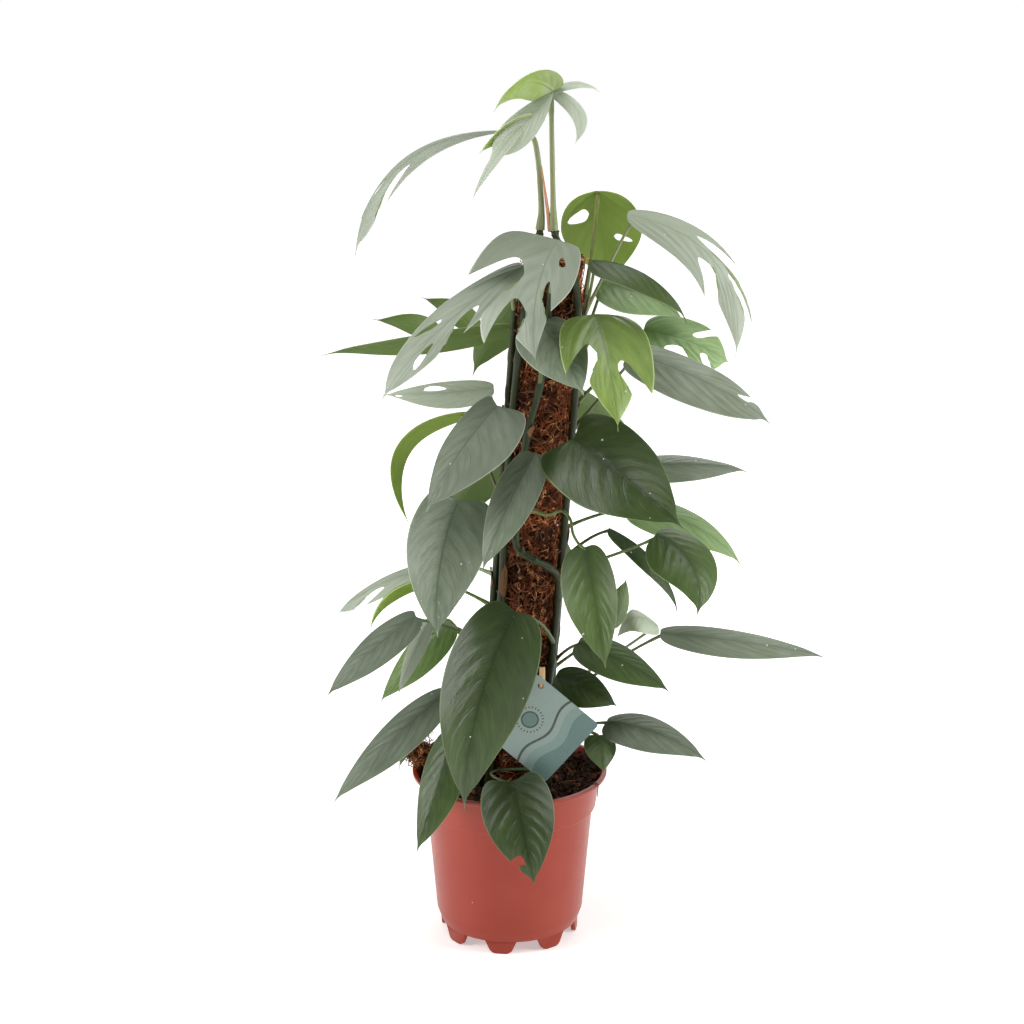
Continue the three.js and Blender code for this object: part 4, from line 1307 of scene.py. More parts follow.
    def thicken(self, bm: BMesh, faces: list[BMFace], uv_layer: BMLayerItem) -> None:
        """Gives the sheet its thickness and the underside its raised midrib.

        Args:
            bm: The leaf's mesh.
            faces: The sheet, its faces pointing to the upper side.
            uv_layer: The UV map, which tells how far a vertex is from the midrib.
        """
        for face in faces:
            face.normal_update()
        drop = {}
        for vert in {vert for face in faces for vert in face.verts}:
            vert.normal_update()
            place = vert.link_loops[0][uv_layer].uv
            raised = self.rib * math.exp(-((abs(place.y - 0.5) / 0.025) ** 2)) * (1 - place.x)
            drop[vert] = vert.normal * (self.thickness + raised)
        edges = list({edge for face in faces for edge in face.edges})
        bmesh.ops.extrude_face_region(bm, geom=faces + edges, use_keep_orig=True)
        for vert, depth in drop.items():
            vert.co -= depth
        for face in faces:
            face.material_index = 1


@dataclass
class Leaf:
    """A leaf: its stalk leaves a vine at a height and bends over a point.

    A stalk with bends runs through them instead. The light is a factor on the
    colours of the tone: partly the leaf's own tone, partly painted light and shade.
    """

    name: str
    vine: str
    at: float
    tone: Tone
    blade: Blade
    via: Point = (0, 0, 0)
    stalk: float = 1.5
    light: float = 1.0
    bends: tuple[Point, ...] = ()
    lobes: tuple[Blade, ...] = ()
    stalk_steps: int = 18

    def stalk_path(self, vine: Vine) -> list[Vector]:
        """Gives the middle line of the stalk, from the vine to the midrib."""
        root = vine.at(self.at)
        end, normal, _ = self.blade.midrib(0.03)
        end = end - normal * 1.3
        if self.bends:
            return smooth([root, *(Vector(bend) for bend in self.bends), end], 6)
        bend = root.lerp(end, 0.45) + Vector(self.via)
        points = []
        for i in range(self.stalk_steps + 1):
            t = i / self.stalk_steps
            points.append(root * (1 - t) ** 2 + bend * (2 * t * (1 - t)) + end * t**2)
        return points

    def stalk_radius(self, share: float) -> float:
        """Gives the stalk's radius: a broad base, a slim middle and a thicker knee."""
        base = 0.55 * math.exp(-((share / 0.14) ** 2))
        knee = 0.28 * math.exp(-(((share - 0.92) / 0.05) ** 2))
        return self.stalk * (1.0 - 0.22 * share + base + knee)

    def build(self, vines: dict[str, Vine], finishes: dict[Tone, list[Material]]) -> None:
        """Builds the blade, its fused lobes and the stalk as one piece."""
        bm = bmesh.new()
        self.blade.settle()
        self.blade.build(bm)
        for lobe in self.lobes:
            lobe.settle(self.blade.midrib(lobe.start)[0]).build(bm)
        tube(bm, self.stalk_path(vines[self.vine]), self.stalk_radius, sides=9, material=2)
        # The light factor, partly the leaf's own tone and partly painted light and shade, rides on its
        # vertices
        layer = bm.verts.layers.float.new("light")
        for vert in bm.verts:
            vert[layer] = self.light
        piece(bm, f"{self.name}_blade", finishes[self.tone], self.tone.value.slot, (self.name,))


# The pot and what stands in it


@dataclass
class PottingMix:
    """The mix that fills the pot: an uneven surface, crumbs, fibres and a clump of coir."""

    level: float = 139.0
    wall: float = 73.1
    brim: float = 77.0
    bank: float = 7.0
    bank_bearing: float = 40.0
    clump: Point = (-65.0, 16.0, 26.0)
    clump_width: float = 11.0
    tangle: Point = (-77.0, 6.0, 160.0)
    rim: float = 150.6
    rings: int = 34
    around: int = 132
    crumbs: int = 1500
    crumb_size: tuple[float, float] = (0.7, 2.1)
    chip_size: tuple[float, float] = (1.2, 2.8)
    fibre_steps: int = 5
    lying_fibres: int = 130
    wound_fibres: int = 420
    tangle_fibres: int = 460

    def height(self, x: float, y: float) -> float:
        """Gives the height of the surface."""
        ripple = math.sin(x * 0.21 + 1) * math.cos(y * 0.17) + 0.6 * math.sin(x * 0.09 - y * 0.13)
        away = ((x - self.clump[0]) ** 2 + (y - self.clump[1]) ** 2) / self.clump_width**2
        outward = max(0.0, (math.hypot(x, y) - 50) / (self.brim - 50)) ** 1.5
        turned = math.atan2(y, x) - math.radians(self.bank_bearing)
        heaped = self.bank * outward * (0.55 + 0.45 * math.cos(turned))
        return self.level + 2.2 * ripple + self.clump[2] * math.exp(-away) + heaped

    def spot(self, reach: float = 75.0) -> tuple[float, float]:
        """Picks a random place on the surface."""
        radius = reach * math.sqrt(random.random())
        angle = random.uniform(0, 2 * math.pi)
        return radius * math.cos(angle), radius * math.sin(angle)

    def body(self) -> None:
        """Builds the filled body with its rough top."""
        bm = bmesh.new()
        sides = ((0, 13.3), (60.9, 13.3), (69.8, 113), (self.wall, 127), (self.brim, 138))
        steps = len(sides) + self.rings

        def place(u: float, v: float) -> Vector:
            step = round(u * steps)
            angle = 2 * math.pi * v
            if step < len(sides):
                radius, z = sides[step]
                return Vector((radius * math.cos(angle), radius * math.sin(angle), z))
            radius = self.brim * (steps - step) / self.rings
            x, y = radius * math.cos(angle), radius * math.sin(angle)
            fine = noise.noise(Vector((x, y, 9)) * 0.6) * 0.9
            rough = noise.noise(Vector((x, y, 0)) * 0.24) * 1.3 + fine
            return Vector((x, y, self.height(x, y) + (rough - 0.8 if radius < self.brim else -0.8)))

        weld(bm, shaped_grid(bm, steps, self.around, place))
        bmesh.ops.recalc_face_normals(bm, faces=bm.faces)
        finish = RoughFinish("potting_mix", 0x1B120C, 0x3A281C, 0x6B4630, scale=160.0, relief=1.5)
        piece(bm, "potting_mix_body", [finish.build()], "soil", ("soil",), crease=180)

    def crumb(self, bm: BMesh, size: float, material: int) -> None:
        """Drops one crumb on the surface."""
        x, y = self.spot()
        stretch = Vector((random.uniform(0.6, 1.5), random.uniform(0.6, 1.2), random.uniform(0.4, 0.9)))
        turn = Quaternion(Vector((random.random(), random.random(), 1)), random.uniform(0, 6)).to_matrix()
        place = Matrix.Translation(Vector((x, y, self.height(x, y) + size * 0.15)))
        matrix = place @ turn.to_4x4() @ Matrix.Diagonal((*stretch, 1))
        verts = bmesh.ops.create_icosphere(bm, subdivisions=1, radius=size, matrix=matrix)["verts"]
        for vert in verts:
            vert.co += jitter(1) * size * 0.16
        for face in {face for vert in verts for face in vert.link_faces}:
            face.material_index = material

    def loose(self) -> None:
        """Builds the crumbs of peat and the chips of bark."""
        bm = bmesh.new()
        for _ in range(self.crumbs):
            self.crumb(bm, random.uniform(*self.crumb_size), 0)
        for _ in range(self.crumbs // 6):
            self.crumb(bm, random.uniform(*self.chip_size), 1)
        finishes = [
            RoughFinish("peat_crumb", 0x1A110C, 0x35221A, 0x543726, scale=300.0, relief=0.5).build(),
            RoughFinish("bark_chip", 0x472416, 0x6B3C25, 0x935F3D, scale=260.0, relief=0.5).build(),
        ]
        piece(bm, "potting_mix_crumbs", finishes, "soil", (), crease=40)

    def fibre(self, x: float, y: float, length: float, rise: float) -> list[Vector]:
        """Lays a loose fibre that leaves the surface by its rise."""
        bearing = random.uniform(0, 2 * math.pi)
        points = []
        for i in range(self.fibre_steps + 1):
            share = i / self.fibre_steps
            lift = 0.4 + rise * math.sin(math.pi * share * 0.7)
            if math.hypot(x, y) > self.brim - 1.5:
                pull = (self.brim - 1.5) / math.hypot(x, y)
                x, y = x * pull, y * pull
            points.append(Vector((x, y, self.height(x, y) + lift)))
            x += math.cos(bearing) * length / self.fibre_steps
            y += math.sin(bearing) * length / self.fibre_steps
            bearing += random.gauss(0, 0.5)
        return points

    def clump_fibre(self) -> list[Vector]:
        """Winds a fibre round the clump of coir at the rim."""
        cx, cy, _ = self.clump
        angle = random.uniform(0, 2 * math.pi)
        level = random.random()
        turn = random.choice((1, -1)) * random.uniform(0.2, 0.6)
        points = []
        for _ in range(6):
            reach = self.clump_width * 1.25 * math.sqrt(max(0.02, 1 - level)) * random.uniform(0.85, 1.1)
            x, y = cx + reach * math.cos(angle), cy + reach * math.sin(angle)
            far = math.hypot(x, y)
            if far > self.brim - 1:
                x, y = x * (self.brim - 1) / far, y * (self.brim - 1) / far
            points.append(Vector((x, y, self.height(x, y) + random.uniform(0.2, 1.8))))
            angle += turn
            level = min(max(level + random.gauss(0, 0.14), 0), 1)
        return points

    def bristle(self) -> list[Vector]:
        """Winds a fibre through the tangle that spills from the clump over the rim."""
        middle = Vector(self.tangle)
        point = middle + Vector((random.gauss(0, 6.5), random.gauss(0, 7.5), random.gauss(0, 5)))
        aim = Vector((random.gauss(-0.3, 1), random.gauss(0, 1), random.gauss(0.2, 0.8))).normalized()
        points = []
        for _ in range(7):
            point.z = max(point.z, self.rim)
            points.append(point.copy())
            home = (middle - point) * 0.035
            aim = (aim + home + jitter(0.35)).normalized()
            point = point + aim * 2.9
        return points

    def fibres(self) -> None:
        """Builds the fibres that lie on the mix and those of the clump."""
        lying = [
            self.fibre(*self.spot(68), random.uniform(8, 30), random.uniform(0, 2.5))
            for _ in range(self.lying_fibres)
        ]
        finish = RoughFinish("mix_fibre", 0x3A2014, 0x7A4A2C, 0xA87850, scale=120.0, relief=0.2)
        dress(strands(lying, 0.28, "potting_mix_fibres"), "potting_mix_fibres", [finish.build()], "soil")
        wound = [self.clump_fibre() for _ in range(self.wound_fibres)]
        wound += [self.bristle() for _ in range(self.tangle_fibres)]
        finish = RoughFinish(
            "clump_fibre", 0x4A2814, 0x9A6038, 0xD89E6A, scale=60.0, relief=0.2, by_strand=True
        )
        dress(strands(wound, 0.3, "coir_clump"), "coir_clump", [finish.build()], "coir")

    def build(self) -> None:
        """Builds the mix."""
        self.body()
        self.loose()
        self.fibres()


@dataclass
class NurseryPot:
    """A thin moulded pot with a flared lip, a collar, eight feet and drain holes."""

    wall: tuple[tuple[float, float], ...] = (
        (58.8, 13), (62.3, 20), (70.5, 114), (73.5, 117.5), (81, 149.5), (85, 149.5), (85, 146.3),
        (79.6, 144.6), (75.4, 117.2), (72.6, 116), (64.3, 22), (60.6, 11.4), (58.8, 11),
    )
    steps: int = 144
    feet: int = 8
    feet_shift: float = 0.165
    foot_reach: tuple[float, float] = (57.4, 61.2)
    foot_height: float = 13.0
    foot_top: float = 29.0
    foot_bottom: float = 17.0
    floor_height: float = 13.0
    floor_radius: float = 59.2
    floor_thickness: float = 2.0
    pad: float = 12.0
    pad_height: float = 12.0
    drains: int = 4
    drain: float = 5.0
    drain_circle: float = 38.0

    def shell(self, bm: BMesh) -> None:
        """Spins the wall and rounds its edges."""
        verts = [bm.verts.new((radius, 0, z)) for radius, z in self.wall]
        edges = [bm.edges.new(pair) for pair in zip(verts, verts[1:] + verts[:1])]
        bmesh.ops.spin(
            bm, geom=verts + edges, cent=(0, 0, 0), axis=(0, 0, 1), dvec=(0, 0, 0),
            angle=2 * math.pi, steps=self.steps, use_merge=True,
        )
        bmesh.ops.remove_doubles(bm, verts=bm.verts, dist=0.001)
        bmesh.ops.recalc_face_normals(bm, faces=bm.faces)
        bm.normal_update()
        soften(bm, [edge for edge in bm.edges if edge.calc_face_angle(0) > 0.4], 0.7, 3)

    def floor(self, bm: BMesh) -> None:
        """Fills the floor round its drain holes and gives it its thickness."""
        middle = UP * self.floor_height
        edges = ring(bm, Matrix.Translation(middle), self.floor_radius, self.steps)
        for i in range(self.drains):
            aside = heading(2 * math.pi * (i + 0.5) / self.drains) * self.drain_circle
            edges += ring(bm, Matrix.Translation(aside + middle), self.drain, 24)
        made = bmesh.ops.triangle_fill(bm, use_beauty=True, use_dissolve=False, edges=edges)["geom"]
        faces = [item for item in made if isinstance(item, BMFace)]
        for face in faces:
            face.normal_update()
            if face.normal.z < 0:
                face.normal_flip()
        bmesh.ops.solidify(bm, geom=faces, thickness=self.floor_thickness)

    def foot(self, bm: BMesh, angle: float) -> None:
        """Adds one foot that goes on from the wall and narrows to its rounded end."""
        near, far = self.foot_reach
        verts = bmesh.ops.create_cube(bm, size=1)["verts"]
        for vert in verts:
            wide = self.foot_top if vert.co.z > 0 else self.foot_bottom
            radius = far if vert.co.x > 0 else near
            vert.co = Vector((radius, vert.co.y * wide, 0 if vert.co.z < 0 else self.foot_height))
        edges = {edge for vert in verts for edge in vert.link_edges}
        ends = [edge for edge in edges if all(vert.co.z == 0 for vert in edge.verts)]
        ends = [edge for edge in ends if abs(edge.verts[0].co.y - edge.verts[1].co.y) < 1]
        before = set(bm.verts) - set(verts)
        soften(bm, ends, 4.0, 6)
        fresh = [edge for edge in bm.edges if edge.verts[0] not in before]
        soften(bm, [edge for edge in fresh if edge.calc_face_angle(0) > 0.7], 0.6, 2)
        turn = Matrix.Rotation(angle, 3, "Z")
        for vert in set(bm.verts) - before:
            curve = math.sqrt(far**2 - vert.co.y**2) - far
            lean = (vert.co.z - self.foot_height) * 0.08
            vert.co = turn @ Vector((vert.co.x + curve + lean, vert.co.y, vert.co.z))

    def build(self) -> None:
        """Builds the pot as one moulding."""
        bm = bmesh.new()
        self.shell(bm)
        self.floor(bm)
        for i in range(self.feet):
            self.foot(bm, 2 * math.pi * (i - self.feet_shift) / self.feet)
        made = bmesh.ops.create_cone(
            bm, cap_ends=True, segments=48, radius1=self.pad, radius2=self.pad,
            depth=self.pad_height, matrix=Matrix.Translation(UP * self.pad_height / 2),
        )
        rims = {edge for vert in made["verts"] for edge in vert.link_edges}
        soften(bm, [edge for edge in rims if edge.calc_face_angle(0) > 1], 0.8, 3)
        for face in bm.faces:
            face.smooth = True
        piece(bm, "pot_shell", [PotFinish().build()], "pot_plastic", ("pot",), crease=32)


@dataclass
class RimRoots:
    """Fine dry roots that cling to the rim, and one that hangs over it."""

    bearing: float = -27.0
    roots: int = 9
    spread: tuple[float, float] = (-4, 55)

    def over(self) -> list[Vector]:
        """Lays the root that climbs over the lip and hangs down outside."""
        shape = (
            (70, 143, 3), (76, 147, 2), (80.5, 150.2, 0), (84, 150.3, -0.5), (86, 149.3, -1),
            (86.2, 144, -1.5), (85.8, 138, -1),
        )
        return [self.point(radius, z, turn) for radius, z, turn in shape]

    def point(self, radius: float, z: float, turn: float) -> Vector:
        """Gives a point from a distance, a height and degrees away from the bearing."""
        angle = math.radians(self.bearing + turn)
        return Vector((radius * math.cos(angle), radius * math.sin(angle), z))

    def build(self, material: Material) -> None:
        """Builds the roots."""
        bm = bmesh.new()
        tube(bm, smooth(self.over(), 4), lambda share: 0.75 - 0.4 * share, sides=7)
        for _ in range(self.roots):
            turn = random.uniform(*self.spread)
            points = []
            for i in range(7):
                radius = 79 + 1.5 * math.sin(i * 1.3 + turn) + 0.3 * i
                points.append(self.point(radius, 148.4 + 0.2 * (radius - 78), turn + i * 2.2))
            tube(bm, points, lambda share: 0.35 - 0.2 * share, sides=5)
        piece(bm, "rim_roots", [material], "coir")


@dataclass
class PlantTag:
    """A square card that hangs by one corner in front of a flat stick."""

    side: float = 69.0
    thickness: float = 0.8
    middle: Point = (26.5, -61.6, 208.8)
    turn: float = -49.0
    corner: float = 3.0
    sag: float = 1.1
    hole: float = 2.6
    hole_place: Point = (26.3, -61.6, 247.0)
    stick: Point = (5.0, 2.0, 145.0)
    stick_middle: Point = (27.3, -59.9, 190.5)

    def card(self) -> None:
        """Builds the card: a rounded square with a punched hole, thickened."""
        bm = bmesh.new()
        uv_layer = bm.loops.layers.uv.verify()
        half = self.side / 2
        corners = [bm.verts.new((x * half, 0, z * half)) for x, z in ((-1, -1), (1, -1), (1, 1), (-1, 1))]
        bm.faces.new(corners)
        soften(bm, corners, self.corner, 6, "VERTICES")
        edges = list(bm.edges)
        bmesh.ops.delete(bm, geom=list(bm.faces), context="FACES_ONLY")
        turn = Matrix.Rotation(math.radians(self.turn), 4, "Y")
        local = turn.inverted() @ (Vector(self.hole_place) - Vector(self.middle))
        place = Matrix.Translation(local) @ Matrix.Rotation(math.pi / 2, 4, "X")
        edges += ring(bm, place, self.hole, 28)
        bmesh.ops.triangle_fill(bm, use_beauty=True, use_dissolve=False, edges=edges)
        for face in bm.faces:
            face.normal_update()
            if face.normal.y > 0:
                face.normal_flip()
            for loop in face.loops:
                loop[uv_layer].uv = (loop.vert.co.x / self.side + 0.5, loop.vert.co.z / self.side + 0.5)
        bmesh.ops.solidify(bm, geom=list(bm.faces), thickness=self.thickness)
        for vert in bm.verts:
            sag = self.sag * (vert.co.x / half) ** 2
            vert.co.y += sag - self.thickness / 2 - 0.5
        bmesh.ops.transform(bm, matrix=Matrix.Translation(self.middle) @ turn, verts=bm.verts)
        piece(bm, "tag_card_print", [CardFinish().build()], "tag_card", ("tag_card",), crease=30)

    def post(self) -> None:
        """Builds the flat stick with softened edges."""
        bm = bmesh.new()
        matrix = Matrix.Translation(self.stick_middle) @ Matrix.Diagonal((*self.stick, 1))
        bmesh.ops.create_cube(bm, size=1, matrix=matrix)
        soften(bm, list(bm.edges), 0.5, 3)
        for face in bm.faces:
            face.smooth = True
        piece(bm, "tag_stick_wood", [WoodFinish().build()], "tag_wood", ("tag_stick",), crease=40)

    def build(self) -> None:
        """Builds the card and the stick."""
        self.card()
        self.post()


# The studio


@dataclass
class Studio:
    """The floor, soft lights and the camera."""

    place: Point = (0.0021, -1.8, 0.869)
    tilt: float = 74.83
    lens: float = 77.34
    aim_height: float = 0.38

    def camera(self) -> None:
        """Sets the camera at the photograph's angle."""
        data = bpy.data.cameras.new("front_camera")
        data.lens = self.lens
        data.sensor_width = 36
        item = add_object("front_camera", data)
        item.location = self.place
        item.rotation_euler = (math.radians(self.tilt), 0, 0)
        bpy.context.scene.camera = item

    def floor(self) -> None:
        """Lays a plain pale floor that glows more away from the pot, fading into the white of the studio.
        """
        bm = bmesh.new()
        bmesh.ops.create_grid(bm, x_segments=1, y_segments=1, size=6.0)
        mesh = bpy.data.meshes.new("studio_floor")
        bm.to_mesh(mesh)
        bm.free()
        finish = Finish("studio_floor")
        finish.paint(srgb(0xF2F1EF), 0.8, 0.2)
        graph = finish.graph
        length = graph.add("ShaderNodeVectorMath", {"operation": "LENGTH"}, i0=graph.object_point())
        glow = graph.step(length.outputs["Value"], 0.15, 1.0, 0.42, 0.9)
        finish.shader.inputs["Emission Color"].default_value = (1, 1, 1, 1)
        graph.feed(finish.shader.inputs["Emission Strength"], glow)
        mesh.materials.append(finish.material)
        item = add_object("studio_floor", mesh)

    def light(self, name: str, place: Point, size: tuple[float, float], power: float) -> None:
        """Hangs a soft rectangular light that faces the plant."""
        data = bpy.data.lights.new(name, "AREA")
        data.shape = "RECTANGLE"
        data.size, data.size_y = size
        data.energy = power
        item = add_object(name, data)
        item.location = place
        aim = UP * self.aim_height - Vector(place)
        item.rotation_euler = aim.to_track_quat("-Z", "Y").to_euler()

    def build(self) -> None:
        """Builds the studio."""
        self.camera()
        self.floor()
        self.light("light_left", (-1.7, -0.6, 1.1), (0.8, 1.4), 30)
        self.light("light_right", (1.7, -0.5, 1.0), (0.8, 1.4), 26)
        self.light("light_top", (0.0, -0.4, 2.3), (1.4, 1.0), 20)
        self.light("light_back", (0.3, 1.7, 1.3), (1.4, 1.0), 9)
        world = bpy.data.worlds.new("studio_air")
        world.use_nodes = True
        graph = Graph(world.node_tree)
        seen = graph.add("ShaderNodeLightPath").outputs["Is Camera Ray"]
        heading = graph.add("ShaderNodeTexCoord").outputs["Generated"]
        parts = graph.split(heading)
        glow = graph.step(graph.plus(parts["Y"], parts["Z"]), -0.6, 0.8, 0.08, 0.34)
        background = world.node_tree.nodes["Background"]
        background.inputs["Color"].default_value = (1, 1, 1, 1)
        graph.feed(background.inputs["Strength"], graph.math("MAXIMUM", glow, seen))
        bpy.context.scene.world = world
        bpy.context.scene.view_settings.view_transform = "Standard"


# The whole plant


VINES = (
    Vine("vine_left", ((200, 203), (290, 200), (380, 198), (470, 194), (530, 190), (562, 186))),
    Vine(
        "vine_front_left",
        (
            (200, 228), (290, 226), (370, 218), (450, 214), (530, 220), (580, 232), (598, 238, 28.5),
            (612, 228, 20), (622, 222, 18),
        ),
    ),
    Vine(
        "vine_crossing",
        (
            (230, -26), (304, -25, 30), (330, -37, 31), (342, -64, 31.5), (350, -92, 31.5),
            (359, -112, 31), (380, -115, 30), (450, -112), (500, -96), (560, -92), (584, -92),
        ),
    ),
    Vine(
        "vine_front_right",
        (
            (230, 2), (300, 4), (360, -14), (450, -20), (540, -30), (580, -50), (598, -62, 28.5),
            (612, -82, 18), (622, -98, 16),
        ),
    ),
    Vine("vine_right", ((230, 32), (300, 30), (400, 22), (480, 18), (566, 14))),
    Vine("vine_back", ((250, 92), (400, 95), (560, 90))),
)

